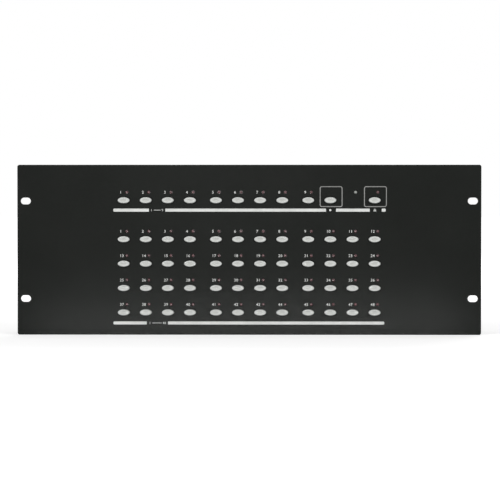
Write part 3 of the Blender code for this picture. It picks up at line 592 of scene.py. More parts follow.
bm = bmesh.new()
for rise, bars in ((SCENE_RISE, SCENE_BARS), (CHANNEL_RISE, CHANNEL_BARS)):
    for bar in bars:
        left, right = bar
        left_corner = BAR_END if bar == bars[0] else BAR_GAP
        right_corner = BAR_END if bar == bars[-1] else BAR_GAP
        middle = (left + right) / 2
        add_ink(bm, rounded(right - left, BAR_HEIGHT, right_corner, 4, middle, rise, left_corner))
piece("printed_lines", bm, white_ink)
bm = bmesh.new()
for x, z in (record_place, lock_place):
    at = (x + BOX_RIGHT, z + BOX_RISE)
    outer = rounded(BOX_WIDTH + BOX_LINE, BOX_HEIGHT + BOX_LINE, BOX_CORNER, 6, *at)
    add_ink(bm, outer, rounded(BOX_WIDTH - BOX_LINE, BOX_HEIGHT - BOX_LINE, BOX_CORNER - BOX_LINE, 6, *at))
piece("printed_boxes", bm, fine_ink)
print("two lines, two boxes")

# %% Print the marks in the gaps
MARK_HEIGHT = 2.3
DASH = 0.5

bm = bmesh.new()
for last, left, right, rise in (("9", -102.4, -90.9, SCENE_RISE), ("48", -104.0, -89.9, CHANNEL_RISE)):
    add_type(bm, "1", MARK_HEIGHT, left, rise)
    add_type(bm, last, MARK_HEIGHT, right, rise)
    start, end = left + 3.2, right - 1.0
    add_ink(bm, rounded(end - start, DASH, 0.2, 4, (start + end) / 2, rise))
add_ink(bm, ellipse(MARK_HEIGHT, MARK_HEIGHT, 24, record_place[0] - 0.1, SCENE_RISE))
lock_x = lock_place[0] + 0.2
add_ink(bm, rounded(2.6, 1.5, 0.2, 3, lock_x, SCENE_RISE - 0.5))
loop = (lock_x, SCENE_RISE + 0.35)
add_ink(bm, rounded(1.9, 1.9, 0.9, 6, *loop), rounded(1.1, 1.1, 0.5, 6, *loop))
piece("printed_marks", bm, white_ink)

# %% [markdown]
# ## The board behind the keys
#
# Behind the plate is a circuit board with a small square switch under each cap: glass fibre under a
# green varnish, in which copper tracks show as paler lines. They could be drawn one by one, but the
# joints of very long, low bricks run side by side and turn square too, and soft noise breaks them up.


# %% Circuit board
def varnished_board(name, colour, track, tilt):
    """A board's finish; the tilt turns its plane to the one that bricks are laid in."""
    varnish = Finish(name, Roughness=0.35)
    flat = varnish.node("Mapping", {"Vector": varnish.place, "Rotation": (tilt, 0.0, 0.0)})
    laid = {
        "Vector": flat, "Scale": 1.0, "Mortar Size": 0.22 * MM, "Mortar Smooth": 0.2,
        "Brick Width": 37 * MM, "Row Height": 1.27 * MM,
    }
    tracks = varnish.node("TexBrick", laid, 1, offset=0.37, squash=1.6, squash_frequency=3)
    tracks = tracks * varnish.step(varnish.noise(11, 1.0), 0.50, 0.53)
    pads = varnish.node("TexVoronoi", {"Vector": varnish.place, "Scale": 1 / (5 * MM)})
    plated = 1 - varnish.step(pads, 0.10, 0.13)
    fibre = varnish.noise(1.2)
    mask = varnish.blend(fibre, [0.7 * share for share in colour], colour)
    mask = varnish.blend(tracks * 0.6, mask, track)
    return varnish.wear(
        Base_Color=varnish.blend(plated, mask, (0.62, 0.60, 0.55)),
        Metallic=plated,
        Normal=varnish.bump(tracks, 0.035),
    )


board_finish = varnished_board("green_board", (0.014, 0.105, 0.045), (0.035, 0.19, 0.080), pi / 2)


# %% Moulded plastic and metals
def moulded_black(name, colour, rough):
    plastic = Finish(name, Specular_IOR_Level=0.4)
    texture = plastic.noise(0.25, 3.0)
    handled = plastic.noise(14, 3.0)
    return plastic.wear(
        Base_Color=plastic.blend(handled, colour, [1.7 * share for share in colour]),
        Roughness=rough + 0.12 * handled + 0.05 * texture,
        Normal=plastic.bump(texture, 0.015),
    )


def grained(name, colour, rough, metallic=1.0, ribs=0.0):
    """A colour and a gloss that vary a little, on fine grain or on ribs stacked upwards."""
    skin = Finish(name, Metallic=metallic)
    cloud = skin.noise(6, 4.0)
    grain = skin.noise(0.3, 3.0)
    skin.wear(
        Base_Color=skin.blend(cloud, [0.62 * share for share in colour], colour),
        Roughness=rough + 0.16 * cloud + 0.06 * grain,
    )
    if not ribs:
        return skin.wear(Normal=skin.bump(grain, 0.004))
    wound = {"Vector": skin.place, "Scale": 0.314 / (ribs * MM)}
    turns = skin.node("TexWave", wound, 1, wave_type="BANDS", bands_direction="Z")
    return skin.wear(Normal=skin.bump(turns, 0.3 * ribs))


black_plastic = moulded_black("black_plastic", (0.012, 0.012, 0.013), 0.40)
bright_metal = grained("bright_tin", (0.72, 0.71, 0.68), 0.22)

# %% Lay the board and its switches
BOARD_THICKNESS = 1.6
BOARD_EDGE = 0.12
SWITCH_WIDTH = 6.2
SWITCH_DEPTH = 3.5
LID_THICKNESS = 0.35
LID_WIDTH = 6.0
LID_AIR = 0.04

board_x, board_z, board_width, board_height, _, BOARD_BACK = measured("key_board")
BOARD_FRONT = BOARD_BACK - BOARD_THICKNESS
bm = bmesh.new()
sheet = rounded(board_width, board_height, 2, 5, board_x, board_z)
add_plate(bm, sheet, BOARD_FRONT, BOARD_BACK, BOARD_EDGE)
piece("board_sheet", bm, board_finish, "key_board")
switches, lids = bmesh.new(), bmesh.new()
top = BOARD_FRONT - SWITCH_DEPTH
for x, z in key_places:
    add_block(switches, x, z, SWITCH_WIDTH, SWITCH_WIDTH, top + LID_THICKNESS, BOARD_FRONT, 0.3)
    lid = rounded(LID_WIDTH, LID_WIDTH, 0.5, 3, x, z)
    add_plate(lids, lid, top + LID_AIR, top + LID_THICKNESS + 0.1, 0.08, 1)
piece("switch_bodies", switches, black_plastic, "key_board")
piece("switch_lids", lids, bright_metal, "key_board")
print(len(key_places), "switches on", round(board_width), "by", round(board_height), "mm")

# %% Turn the spacers
SPACER_WIDTH = 6.0
SPACER_FROM_EDGE = 5.0


def corner_places(width, height, x, z):
    """Where four spacers stand near the corners of a board."""
    across, up = width / 2 - SPACER_FROM_EDGE, height / 2 - SPACER_FROM_EDGE
    return [(x + side * across, z + level * up) for side in (-1, 1) for level in (-1, 1)]


def add_spacer(bm, x, z, front, back):
    add_plate(bm, ellipse(SPACER_WIDTH, SPACER_WIDTH, 6, x, z), front, back, 0.3)


spacers = corner_places(board_width, board_height, board_x, board_z)
first_row, last_row = channel_places[0][1], channel_places[-1][1]
for column in (3, 7):
    alley = (channel_places[column][0] + channel_places[column + 1][0]) / 2
    spacers += [(alley, (first_row + other) / 2) for other in (record_place[1], last_row)]
bm = bmesh.new()
for x, z in spacers:
    add_spacer(bm, x, z, PLATE_BACK + 0.3, BOARD_FRONT)
piece("board_spacers", bm, bright_metal, "key_board")
print(len(spacers), "spacers")

# %% [markdown]
# ## The steel case
#
# The case is a folded tray with a lid, sprayed with black powder that melts into a dull, pebbled
# skin. Dust settles on whatever faces up, and a few chips show steel along the edges. The sheets
# could be drawn again, but the frame's have one fault only, their knife-sharp edges. So each is
# copied, its flat triangles are merged, and a Bevel modifier rounds every edge a little.


# %% Powder coat
def powder_coat(name, box):
    coat = Finish(name, Specular_IOR_Level=0.30)
    pebbles = coat.noise(1.1)
    patches = coat.noise(80, 4.0)
    upward = coat.split(coat.node("NewGeometry", output="Normal"))[2]
    dust = coat.step(upward, 0.6, 1.0) * coat.step(patches, 0.35, 0.75)
    chips = coat.chips(box, 0.7)
    shade = coat.step(0.5 * patches + 0.5 * pebbles, 0.35, 0.65)
    skin = coat.blend(shade, (0.0095, 0.0095, 0.0100), (0.0185, 0.0185, 0.0185))
    skin = coat.blend(dust * 0.10, skin, (0.30, 0.29, 0.26))
    return coat.wear(
        Base_Color=coat.blend(chips, skin, (0.24, 0.24, 0.24)),
        Metallic=chips,
        Roughness=0.46 + 0.16 * pebbles + 0.10 * dust,
        Normal=coat.bump(pebbles, 0.16),
    )


# %% Soften the frame's sheets
FOOT_HEIGHT = 2.0


def softened(node, name, finish):
    """A copy of a frame node with rounded edges, which stands for it."""
    bm = bmesh.new()
    bm.from_mesh(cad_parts[node].data)
    bmesh.ops.remove_doubles(bm, verts=bm.verts, dist=0.0005 * MM)
    bmesh.ops.dissolve_limit(bm, angle_limit=radians(0.5), verts=bm.verts, edges=bm.edges)
    bmesh.ops.translate(bm, vec=-CENTRE, verts=bm.verts)
    bmesh.ops.scale(bm, vec=(1 / MM, 1 / MM, 1 / MM), verts=bm.verts)
    sheet = piece(name, bm, finish, node)
    round_off = sheet.modifiers.new("rounded_edges", "BEVEL")
    set_up(round_off, width=0.22 * MM, segments=2, limit_method="ANGLE", angle_limit=radians(40))
    sheet.modifiers.move(1, 0)
    print(name, "has", len(sheet.data.polygons), "faces")


tray_low, tray_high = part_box("case_body")
above_feet = tray_low + Vector((0.0, 0.0, FOOT_HEIGHT * MM))
softened("case_body", "case_tray", powder_coat("tray_coat", (above_feet, tray_high)))
softened("top_cover", "case_lid", powder_coat("lid_coat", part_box("top_cover")))

# %% [markdown]
# ## The two boards inside
#
# The processor's board hangs behind the key board, and a small open supply stands on the floor of
# the tray. Their parts are soft-edged blocks, turned cans and rows of pins. Each could be modelled
# by hand, but one line of sizes and places for each is easier to change. The supply is drawn
# upright too, and is then tipped back to lie flat.


# %% Parts sorted by finish
class Kit:
    """The parts of one board. Whatever has the same finish becomes one piece."""

    def __init__(self, board, node, place):
        self.board, self.node, self.place = board, node, place
        self.heaps = {}

    def heap(self, finish):
        return self.heaps.setdefault(finish, bmesh.new())

    def block(self, finish, size, right, up, off=0.0, edge=0.3):
        """A block of width, height and depth, off the board."""
        width, height, depth = size
        add_block(self.heap(finish), right, up, width, height, off, off + depth, edge)

    def turned(self, finish, profile, right, up, sides=24):
        add_turned(self.heap(finish), profile, sides, right, up)

    def settle(self):
        for finish, bm in self.heaps.items():
            bmesh.ops.transform(bm, matrix=self.place, verts=bm.verts)
            piece(f"{self.board}_{finish.name}", bm, finish, self.node)
        print(self.board, "has", len(self.heaps), "pieces")


# %% Shapes that both boards use
terminal_green = grained("terminal_green", (0.035, 0.20, 0.075), 0.40, 0.0)
sleeve_navy = grained("sleeve_navy", (0.016, 0.022, 0.060), 0.30, 0.0)
aluminium = grained("bare_aluminium", (0.60, 0.61, 0.62), 0.30)
BOARD_SCREW = (2.6, 1.5)


def add_sheet(kit, finish, width, height, right, up, spacer):
    """The bare board, its four hexagonal spacers in front and their screws behind."""
    outline = rounded(width, height, 2, 5, right, up)
    add_plate(kit.heap(finish), outline, -BOARD_THICKNESS, 0.0, BOARD_EDGE)
    bm = kit.heap(bright_metal)
    for x, z in corner_places(width, height, right, up):
        add_spacer(bm, x, z, -BOARD_THICKNESS - spacer, -BOARD_THICKNESS)
        add_screw(bm, (x, 0.0, z), (0, 1, 0), *BOARD_SCREW)


def add_can(kit, right, up, radius, length):
    """A capacitor: a sleeve with a groove near its foot, and a bare lid."""
    sleeve = [(0, 0.3), (radius, 0.3), (radius, 1.6), (radius - 0.3, 2.0), (radius, 2.4)]
    sleeve += [(radius, length - 0.5), (radius - 0.5, length), (radius - 1, length), (radius - 1, 1), (0, 1)]
    lid = [(0, length - 0.4), (radius - 0.9, length - 0.4), (radius - 0.9, length - 0.8), (0, 2)]
    kit.turned(sleeve_navy, sleeve, right, up)
    kit.turned(aluminium, lid, right, up)


def add_terminals(kit, size, right, up, ways):
    """A terminal block and the screws in its top, along its longer side."""
    kit.block(terminal_green, size, right, up, edge=0.5)
    width, height, top = size
    screw = [(0, top + 0.2), (1.5, top + 0.2), (1.8, top), (1.8, top - 1), (0, top - 1)]
    for way in range(ways):
        shift = max(width, height) * ((way + 0.5) / ways - 0.5)
        at = (right + shift, up) if width > height else (right, up + shift)
        kit.turned(bright_metal, screw, *at)


def add_chip(kit, width, height, right, up, leads, sides):
    """A flat chip on bent leads."""
    kit.block(black_plastic, (width, height, 1.3), right, up, 0.3, 0.15)
    for side in sides:
        turn = Matrix.Rotation(side * pi / 2, 2)
        flat = side % 2 == 0
        reach = (width if flat else height) / 2 + 0.4
        for lead in range(leads):
            foot = turn @ Vector((reach, (lead - (leads - 1) / 2) * 1.1))
            size = (1.2, 0.45, 0.7) if flat else (0.45, 1.2, 0.7)
            kit.block(bright_metal, size, right + foot.x, up + foot.y, 0.0, 0.1)


# %% [markdown]
# ## Screws
#
# Small screws hold the boards, the sockets and the lid. Each has a low domed head with a six-sided
# socket in it. A Boolean could cut that, but a head is only rings: a dome, a six-sided wall and a
# floor. So one function draws it and turns it to face any way.


# %% Turn the screws
def add_screw(bm, place, facing, radius, height, sides=30):
    """Adds a domed head with a hexagonal socket, its underside at place."""
    socket = radius * 0.52
    sixth = pi / 3
    leans = [(angle + sixth / 2) % sixth - sixth / 2 for angle in full_turn(sides)]
    hexagon = [socket * cos(sixth / 2) / cos(lean) for lean in leans]
    levels = []
    for angle in quarter_turn(4):
        edge = radius - (radius - socket * 1.25) * (1 - cos(angle))
        levels.append(([edge] * sides, height * sin(angle)))
    levels += [(hexagon, height), (hexagon, height * 0.25)]
    rings = add_skin(bm, [
        [(reach * cos(a), rise, reach * sin(a)) for reach, a in zip(reaches, full_turn(sides))]
        for reaches, rise in levels
    ])
    bm.faces.new(rings[0])
    bm.faces.new(rings[-1])
    turn = Vector((0.0, 1.0, 0.0)).rotation_difference(Vector(facing)).to_matrix().to_4x4()
    bmesh.ops.transform(bm, matrix=Matrix.Translation(place) @ turn, verts=sum(rings, []))


# %% The processor's board
CONTROL_GAP = 11.0
HEADER_PITCH = 2.54

control_place = Vector((-20, BOARD_BACK + CONTROL_GAP + BOARD_THICKNESS, 10))
control = Kit("processor", "control_board", Matrix.Translation(control_place))
add_sheet(control, board_finish, 150, 90, 0, 0, CONTROL_GAP - 0.3)
add_chip(control, 14, 14, 0, 4, 12, (0, 1, 2, 3))
for up in (12, -4):
    add_chip(control, 4, 5, -52, up, 4, (0, 2))
add_terminals(control, (22, 8, 11), -52, -30, 4)
add_terminals(control, (16, 8, 11), 40, 24, 3)
for right in (24, 38):
    add_can(control, right, -24, 4, 12)
control.block(aluminium, (10.4, 1.3, 13), 56, -25.6, 3, 0.2)
control.block(black_plastic, (10.2, 3.2, 9), 56, -23.4, 3, 0.3)
for leg in (-2.5, 0, 2.5):
    control.block(bright_metal, (0.8, 0.6, 4), 56 + leg, -23.4, 0, 0.1)
header_front = 0.3 - CONTROL_GAP - BOARD_THICKNESS
pin_size = (0.64, 0.64, -header_front - 1.7)
for start in (header_front, -4.1):
    control.block(black_plastic, (60, 5, 2.5), 0, 35, start, 0.2)
for column in range(-11, 12):
    for up in (33.73, 36.27):
        control.block(bright_metal, pin_size, column * HEADER_PITCH, up, header_front + 0.05, 0.05)
control.settle()

# %% The supply's board
SUPPLY_STANDOFF = 6.0

ferrite = grained("ferrite", (0.035, 0.035, 0.038), 0.50, 0.0)
winding_tape = grained("winding_tape", (0.62, 0.42, 0.06), 0.30, 0.0)
copper_wire = grained("copper_wire", (0.75, 0.32, 0.14), 0.25, 1.0, 0.7)
amber_board = varnished_board("amber_board", (0.24, 0.135, 0.035), (0.32, 0.19, 0.055), 0.0)
supply_corner = seen_box("power_supply")[0] + Vector((0.0, 0.0, SUPPLY_STANDOFF + BOARD_THICKNESS))
tip_back = Matrix.Translation(supply_corner) @ Matrix.Rotation(pi / 2, 4, "X")
supply = Kit("supply", "power_supply", tip_back)
add_sheet(supply, amber_board, 90, 50, 45, -25, SUPPLY_STANDOFF)
supply.block(black_plastic, (22, 21, 2), 44, -25, 0, 0.3)
supply.block(ferrite, (24, 10, 18), 44, -25, 2, 0.6)
supply.block(winding_tape, (17, 22, 14), 44, -25, 4, 1.8)
for off in (0, 16.5):
    supply.block(black_plastic, (16, 18, 1.5), 70, -26, off, 0.5)
supply.turned(copper_wire, [(0, 1.5), (7, 1.5), (7.4, 2.2), (7.4, 15.8), (7, 16.5), (0, 16.5)], 70, -26, 32)
for right in (30, 59):
    supply.block(aluminium, (2, 34, 22), right, -25, 0, 0.4)
add_terminals(supply, (8, 30, 10), 84, -25, 3)
add_terminals(supply, (8, 24, 10), 6, -25, 4)
for along in (14, 36):
    add_can(supply, 20, -along, 6, 20)
supply.settle()

# %% [markdown]
# ## The mains inlet and its switch
#
# One black moulding holds the three-blade inlet, a fuse drawer and a rocker switch, and snaps into
# the rear wall. Its mouth has two cut corners so that the plug goes in one way only. It could be cut
# from a block, but plates with two holes in them, and thin plates as their floors, are cleaner.

# %% Mould the inlet
FUSE_PROUD = 1.0
MOUTH_HALF_X = 12.1
MOUTH_HALF_Z = 8.2
MOUTH_CUT = 4.5
MOUTH_DEPTH = 15.0
ROCKER_WIDTH = 12.6
ROCKER_HALF = 9.2
ROCKER_END = 3.0
ROCKER_AIR = 0.4

ENTRY_X, ENTRY_Z, entry_width, entry_height, entry_front, entry_back = measured("mains_inlet")
ENTRY_FACE = entry_back - FUSE_PROUD
ENTRY_SEAT = ENTRY_FACE - 3.0
MOUTH_FLOOR = ENTRY_FACE - MOUTH_DEPTH
MOUTH_Z = ENTRY_Z - 15.5
ROCKER_Z = ENTRY_Z + 15.0


def mouth(by=0.0):
    """The inlet's mouth, its two upper corners cut off."""
    half_x, half_z = MOUTH_HALF_X + by, MOUTH_HALF_Z + by
    cut = MOUTH_CUT + by * (2 - sqrt(2))
    right = [(half_x, -half_z), (half_x, half_z - cut), (half_x - cut, half_z)]
    left = [(-x, z) for x, z in reversed(right)]
    return [(ENTRY_X + x, MOUTH_Z + z) for x, z in right + left]


well_height = 2 * (hypot(ROCKER_HALF, ROCKER_END) + ROCKER_AIR)
well = rounded(ROCKER_WIDTH + 2 * ROCKER_AIR, well_height, 0.6, 3, ENTRY_X, ROCKER_Z)
flange = rounded(entry_width, entry_height, 3, 8, ENTRY_X, ENTRY_Z)
block = rounded(27, 54, 1, 3, ENTRY_X, ENTRY_Z)
bm = bmesh.new()
add_plate(bm, flange, ENTRY_SEAT, ENTRY_FACE, 0.5, 3, [mouth, well])
add_plate(bm, block, entry_front + 0.6, ENTRY_SEAT, 0.1, 1, [mouth, well])
add_plate(bm, block, entry_front, entry_front + 0.5, 0.1, 1)
add_plate(bm, mouth, MOUTH_FLOOR - 1, MOUTH_FLOOR, 0.05, 1)
inlet_plastic = moulded_black("inlet_moulding", (0.010, 0.010, 0.011), 0.36)
piece("inlet_moulding", bm, inlet_plastic, "mains_inlet")

# %% Blades and fuse drawer
BLADE_WIDTH = 2.0
BLADE_HEIGHT = 4.0
BLADE_TIP = MOUTH_FLOOR + 13.0

bm = bmesh.new()
for right, up in ((-7, -2), (7, -2), (0, 2)):
    at = (ENTRY_X + right, MOUTH_Z + up)
    add_block(bm, *at, BLADE_WIDTH, BLADE_HEIGHT, MOUTH_FLOOR - 1, BLADE_TIP, 0.6)
nickel = grained("nickel_plate", (0.66, 0.64, 0.58), 0.18)
piece("inlet_blades", bm, nickel, "mains_inlet")
bm = bmesh.new()
drawer = rounded(22, 6, 0.8, 4, ENTRY_X, ENTRY_Z - 2.0)
grip = rounded(7, 1.4, 0.6, 4, ENTRY_X, ENTRY_Z - 0.8)
add_plate(bm, drawer, ENTRY_FACE - 0.4, ENTRY_FACE + FUSE_PROUD, 0.3, holes=[grip])
add_plate(bm, drawer, ENTRY_FACE - 0.8, ENTRY_FACE - 0.35, 0.05, 1)
piece("fuse_drawer", bm, black_plastic, "mains_inlet")

# %% [markdown]
# ## The rocker
#
# A rocker has a curved valley across it, so that each end stands up when the other is pressed. A bar
# marks on and a ring marks off. A Boolean could cut the valley, but a side view with a parabola in
# it, pushed across the width, is cleaner. The rocker rides on its own body, so it tips in every pose.

# %% Shape the rocker
ROCKER_TILT = radians(12.0)
ROCKER_AXIS = ENTRY_FACE - 1.0
VALLEY = 1.2
HUB_HALF = 3.12
HUB_DEPTH = 5.2
FACE_STEPS = 14


def valley(z):
    """How far the rocker's face stands above its axis."""
    return VALLEY + (ROCKER_END - VALLEY) * (z / ROCKER_HALF) ** 2


def tipped(bm):
    """Tips a shape drawn about the rocker's axis to off, and puts it in place."""
    turn = Matrix.Translation((ENTRY_X, ROCKER_AXIS, ROCKER_Z)) @ Matrix.Rotation(-ROCKER_TILT, 4, "X")
    bmesh.ops.transform(bm, matrix=turn, verts=bm.verts)
    return bm


def side_of_rocker(by=0.0):
    half = ROCKER_HALF + by
    along = [half * (2 * i / FACE_STEPS - 1) for i in range(FACE_STEPS + 1)]
    face = [(z, valley(min(max(z, -ROCKER_HALF), ROCKER_HALF)) + by) for z in along]
    hub = HUB_HALF + by
    return face + [(half, -VALLEY), (hub, -HUB_DEPTH), (-hub, -HUB_DEPTH), (-half, -VALLEY)]


bm = bmesh.new()
add_plate(bm, side_of_rocker, -ROCKER_WIDTH / 2, ROCKER_WIDTH / 2, 0.5, 3)
lie_across = Matrix(((0, 1, 0, 0), (0, 0, 1, 0), (1, 0, 0, 0), (0, 0, 0, 1)))
bmesh.ops.transform(bm, matrix=lie_across, verts=bm.verts)
rocker_plastic = moulded_black("rocker_gloss", (0.016, 0.016, 0.017), 0.20)
piece("rocker", tipped(bm), rocker_plastic, "power_rocker", "power_rocker", 40.0)

# %% Mark the rocker
MARK_OUT = 5.4

bm = bmesh.new()
add_plate(bm, rounded(0.7, 3.4, 0.2, 3, 0.0, MARK_OUT), 0.0, INK, 0.005, 1)
ring, ring_hole = [ellipse(wide, wide, 28, 0.0, -MARK_OUT) for wide in (3.2, 2.0)]
add_plate(bm, ring, 0.0, INK, 0.005, 1, [ring_hole])
for vert in bm.verts:
    vert.co.y = valley(vert.co.z) + (INK if vert.co.y > INK / 2 else -INK)
piece("rocker_marks", tipped(bm), white_ink, "power_rocker", body="power_rocker")

# %% [markdown]
# ## The data sockets
#
# Data comes in by a socket with three pins and leaves by one with three holes and a latch. Both are
# die-cast and plated in dark nickel. A Boolean would leave a rough bore, so each is a plate with a
# hole, a barrel turned as one profile, which keeps the bore truly round, and a black insert.

# %% Cast the flanges
SOCKET_FACE = ENTRY_SEAT + 2.4
BORE = 9.4
BORE_FLOOR = SOCKET_FACE - 15.0
BARREL = 11.7
LIP = BORE + 1.1
CONTACT_CIRCLE = 4.8
dark_nickel = grained("dark_nickel", (0.30, 0.30, 0.31), 0.26)
black_screw = grained("black_screw_steel", (0.10, 0.10, 0.105), 0.30)


def contact_places(x, z):
    for angle in (30, 150, 270):
        turn = radians(angle)
        yield x + CONTACT_CIRCLE * cos(turn), z + CONTACT_CIRCLE * sin(turn)


def socket_shell(node, name):
    """The flange with its bore, the lip and the barrel behind it. Returns where its middle is."""
    x, z, width, height, front, _ = measured(node)
    bm = bmesh.new()
    outline = rounded(width, height, 3, 8, x, z)
    add_plate(bm, outline, ENTRY_SEAT, SOCKET_FACE, 0.4, 3, [ellipse(2 * BORE, 2 * BORE, 48, x, z)])
    rim = [
        (BORE - 0.05, -1.0), (BORE - 0.05, 0.35), (BORE + 0.25, 0.6),
        (LIP - 0.3, 0.6), (LIP, 0.3), (LIP, -1.0),
    ]
    add_turned(bm, [(radius, SOCKET_FACE + off) for radius, off in (*rim, rim[0])], 48, x, z)
    barrel = [
        (0.0, BORE_FLOOR), (BORE, BORE_FLOOR), (BORE, ENTRY_SEAT),
        (BARREL, ENTRY_SEAT), (BARREL, front), (0.0, front),
    ]
    add_turned(bm, barrel, 48, x, z)
    piece(name, bm, dark_nickel, node)
    return x, z


# %% The input, with pins
PIN_RADIUS = 1.2
PIN_TIP = BORE_FLOOR + 12.0
INSERT_FACE = BORE_FLOOR + 0.8

in_x, in_z = socket_shell("dmx_in_socket", "input_shell")
bm = bmesh.new()
disc = [(0.0, INSERT_FACE), (BORE - 0.1, INSERT_FACE), (BORE - 0.1, BORE_FLOOR), (0.0, BORE_FLOOR)]
add_turned(bm, disc, 40, in_x, in_z)
add_block(bm, in_x, in_z + BORE - 0.4, 2.4, 1.6, BORE_FLOOR, SOCKET_FACE - 2, 0.2)
piece("input_insert", bm, black_plastic, "dmx_in_socket")
bm = bmesh.new()
pin = [(0.0, BORE_FLOOR), (PIN_RADIUS, BORE_FLOOR)]
for angle in quarter_turn(5)[:-1]:
    pin.append((PIN_RADIUS * cos(angle), PIN_TIP - PIN_RADIUS * (1 - sin(angle))))
for place in contact_places(in_x, in_z):
    add_turned(bm, pin + [(0.0, PIN_TIP)], 20, *place)
silver = grained("silver_plate", (0.78, 0.77, 0.73), 0.14)
piece("input_pins", bm, silver, "dmx_in_socket")

# %% The output, with holes and a latch
SLEEVE_FACE = SOCKET_FACE - 3
INSERT_WIDTH = 15.2
CONTACT_HOLE = 3.2
FLANGE_HEIGHT = 31.0

out_x, out_z = socket_shell("dmx_out_socket", "output_shell")
bm = bmesh.new()
insert = ellipse(INSERT_WIDTH, INSERT_WIDTH, 40, out_x, out_z)
holes = [ellipse(CONTACT_HOLE, CONTACT_HOLE, 20, *place) for place in contact_places(out_x, out_z)]
add_plate(bm, insert, BORE_FLOOR, SOCKET_FACE - 0.2, 0.3, holes=holes)
piece("output_insert", bm, black_plastic, "dmx_out_socket")
bm = bmesh.new()
sleeve = [(1.35, BORE_FLOOR), (1.35, SLEEVE_FACE), (1.05, SLEEVE_FACE), (1.05, BORE_FLOOR)]
for place in contact_places(out_x, out_z):
    add_turned(bm, [*sleeve, sleeve[0]], 20, *place)
piece("output_contacts", bm, silver, "dmx_out_socket")
bm = bmesh.new()
tab = rounded(7, 3.4, 0.8, 5, out_x, out_z + (BORE + FLANGE_HEIGHT / 2) / 2)
add_plate(bm, tab, SOCKET_FACE - 0.3, SOCKET_FACE + 1.2, 0.4, 3)
piece("output_latch", bm, nickel, "dmx_out_socket")
print("sockets at", round(in_x, 1), "and", round(out_x, 1), "mm")

# %% [markdown]
# ## The outer screws
#
# Two screws hold each socket, on one diagonal of its flange, and seven hold the lid: two in each
# side and three in the rear lip. The head drawn for the boards serves here too, larger and black.

# %% Fit the screws
SOCKET_SCREW = (2.4, 1.3)
LID_SCREW = (2.8, 1.6)

cover = seen_box("top_cover")[1]
lip_z = cover.z - 6.5
socket_screws, lid_screws = bmesh.new(), bmesh.new()
for side in (-1, 1):
    for x, z in ((in_x, in_z), (out_x, out_z)):
        add_screw(socket_screws, (x + side * 9.5, SOCKET_FACE, z - side * 12.0), (0, 1, 0), *SOCKET_SCREW)
    for depth in (18, 58):
        add_screw(lid_screws, (side * cover.x, depth, lip_z), (side, 0, 0), *LID_SCREW)
for x in (-150, 0, 150):
    add_screw(lid_screws, (x, cover.y, lip_z), (0, 1, 0), *LID_SCREW)
piece("socket_screws", socket_screws, black_screw)
piece("lid_screws", lid_screws, black_screw)
print("eleven screws")

# %% [markdown]
# ## Floor, background and light
#
# The panel is photographed on white. The floor is a pale sheet that keeps a soft shadow. The world
# is plain white where it is seen directly, and lights the object with a dimmer grey. Making the
# background white with more light would wash out the paint.
#
# Large lamps on both sides light the keys. Satin paint mirrors only what is straight ahead, so two
# small strips there give the plate its soft middle and its paler lower edge. They are left out of
# diffuse light, or they would draw bright patches on the floor.


# %% White for the camera only
def seen_directly(board):
    """1 for rays that show the background: from the camera, a mirror or glass."""
    path = board.node("LightPath").socket.node
    rays = [Wire(board, path.outputs[f"Is {kind} Ray"]) for kind in ("Camera", "Glossy", "Transmission")]
    return board.maths("MINIMUM", rays[0] + rays[1] + rays[2], 1.0)


# %% The world
WORLD_LIGHT = 0.42

world = bpy.data.worlds.new("white_studio")
world.use_nodes = True
bpy.context.scene.world = world
sky = Board(world.node_tree)
dim = sky.node("Background", {"Color": (1.0,) * 4, "Strength": WORLD_LIGHT})
white = sky.node("Background", {"Color": (1.0,) * 4, "Strength": 1.0})
either = sky.node("MixShader", {0: seen_directly(sky), 1: dim, 2: white})
sky.feed(world.node_tree.nodes["World Output"].inputs["Surface"], either)

# %% The floor
FLOOR_HALF = 12.0

paper = Finish("pale_floor", Roughness=0.9, Specular_IOR_Level=0.0)
paper.wear(Base_Color=paper.blend(paper.noise(40, 3.0), (0.78,) * 3, (0.80,) * 3))
away = paper.node("VectorMath", {0: paper.place}, 1, operation="LENGTH")
shine = paper.blend(paper.step(away, 0.5, 2.2), (0.40,) * 3, (0.85,) * 3)
glow = paper.node("Emission", {"Color": shine})
nothing = paper.node("Emission", {"Strength": 0.0})
lift = paper.node("MixShader", {0: seen_directly(paper), 1: nothing, 2: glow})
both = paper.node("AddShader", {0: Wire(paper, paper.shader.outputs["BSDF"]), 1: lift})
paper.feed(paper.tree.nodes["Material Output"].inputs["Surface"], both)

bm = bmesh.new()
bmesh.ops.create_grid(bm, x_segments=8, y_segments=8, size=FLOOR_HALF)
mesh = bpy.data.meshes.new("floor")
bm.to_mesh(mesh)
bm.free()
mesh.materials.append(paper.material)
put("floor", mesh)


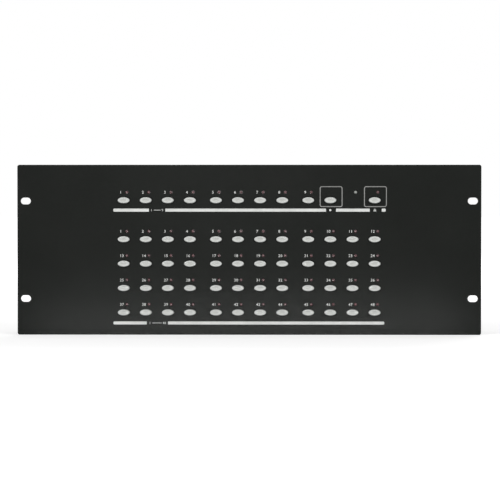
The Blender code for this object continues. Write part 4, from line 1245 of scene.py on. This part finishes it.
# %% Soft lamps
def face(obj, place, target):
    """Puts a lamp or a camera at a place, turned to a target."""
    obj.location = place
    obj.rotation_euler = (Vector(target) - Vector(place)).to_track_quat("-Z", "Y").to_euler()


LAMPS = (
    ("left_window", (-1.6, -1.8, 1.5), 1.4, 1.0, 26, CENTRE.z),
    ("right_window", (1.7, -1.6, 1.3), 1.4, 1.0, 21, CENTRE.z),
    ("rear_window", (0.6, 2.2, 1.6), 1.6, 1.0, 24, CENTRE.z),
    ("middle_strip", (-0.04, -0.8, 0.24), 0.10, 0.30, 0.42, CENTRE.z),
    ("low_strip", (0.0, -0.17, 0.004), 0.46, 0.006, 0.27, 0.008),
)
for name, place, width, height, watts, rise in LAMPS:
    light = bpy.data.lights.new(name, "AREA")
    lamp = put(name, set_up(light, shape="RECTANGLE", size=width, size_y=height, energy=watts))
    set_up(lamp, visible_camera=False, visible_diffuse=not name.endswith("strip"))
    face(lamp, place, (0.0, 0.0, rise))
print(len(LAMPS), "lamps")

# %% [markdown]
# ## The camera
#
# The photograph is taken almost square on from a few metres away: the plate's sides are nearly
# parallel, and its top edge is a hair longer than its bottom edge. So the camera stands far off
# with a long lens, a little above the centre and to the right.

# %% Place the camera
PHOTO_WIDTH = 500
PLATE_PIXELS = 463.9
PLATE_MIDDLE_PIXELS = (249.05, 249.85)
DISTANCE = 2.4
ABOVE = radians(1.4)
ASIDE = radians(0.8)
SENSOR = 36.0

pixel = PLATE_WIDTH * MM / PLATE_PIXELS
lens_length = SENSOR * DISTANCE / (PHOTO_WIDTH * pixel)
camera_data = bpy.data.cameras.new("camera")
camera = put("camera", set_up(camera_data, sensor_width=SENSOR, lens=lens_length, clip_end=50.0))
half = PHOTO_WIDTH / 2
aim = CENTRE + pixel * Vector((half - PLATE_MIDDLE_PIXELS[0], 0.0, PLATE_MIDDLE_PIXELS[1] - half))
back_off = Vector((sin(ASIDE), -cos(ASIDE) * cos(ABOVE), sin(ABOVE)))
face(camera, aim + DISTANCE * back_off, aim)
bpy.context.scene.camera = camera
bpy.context.scene.view_settings.view_transform = "Standard"
print("one pixel is", round(pixel / MM, 4), "mm, lens", round(lens_length, 1), "mm")
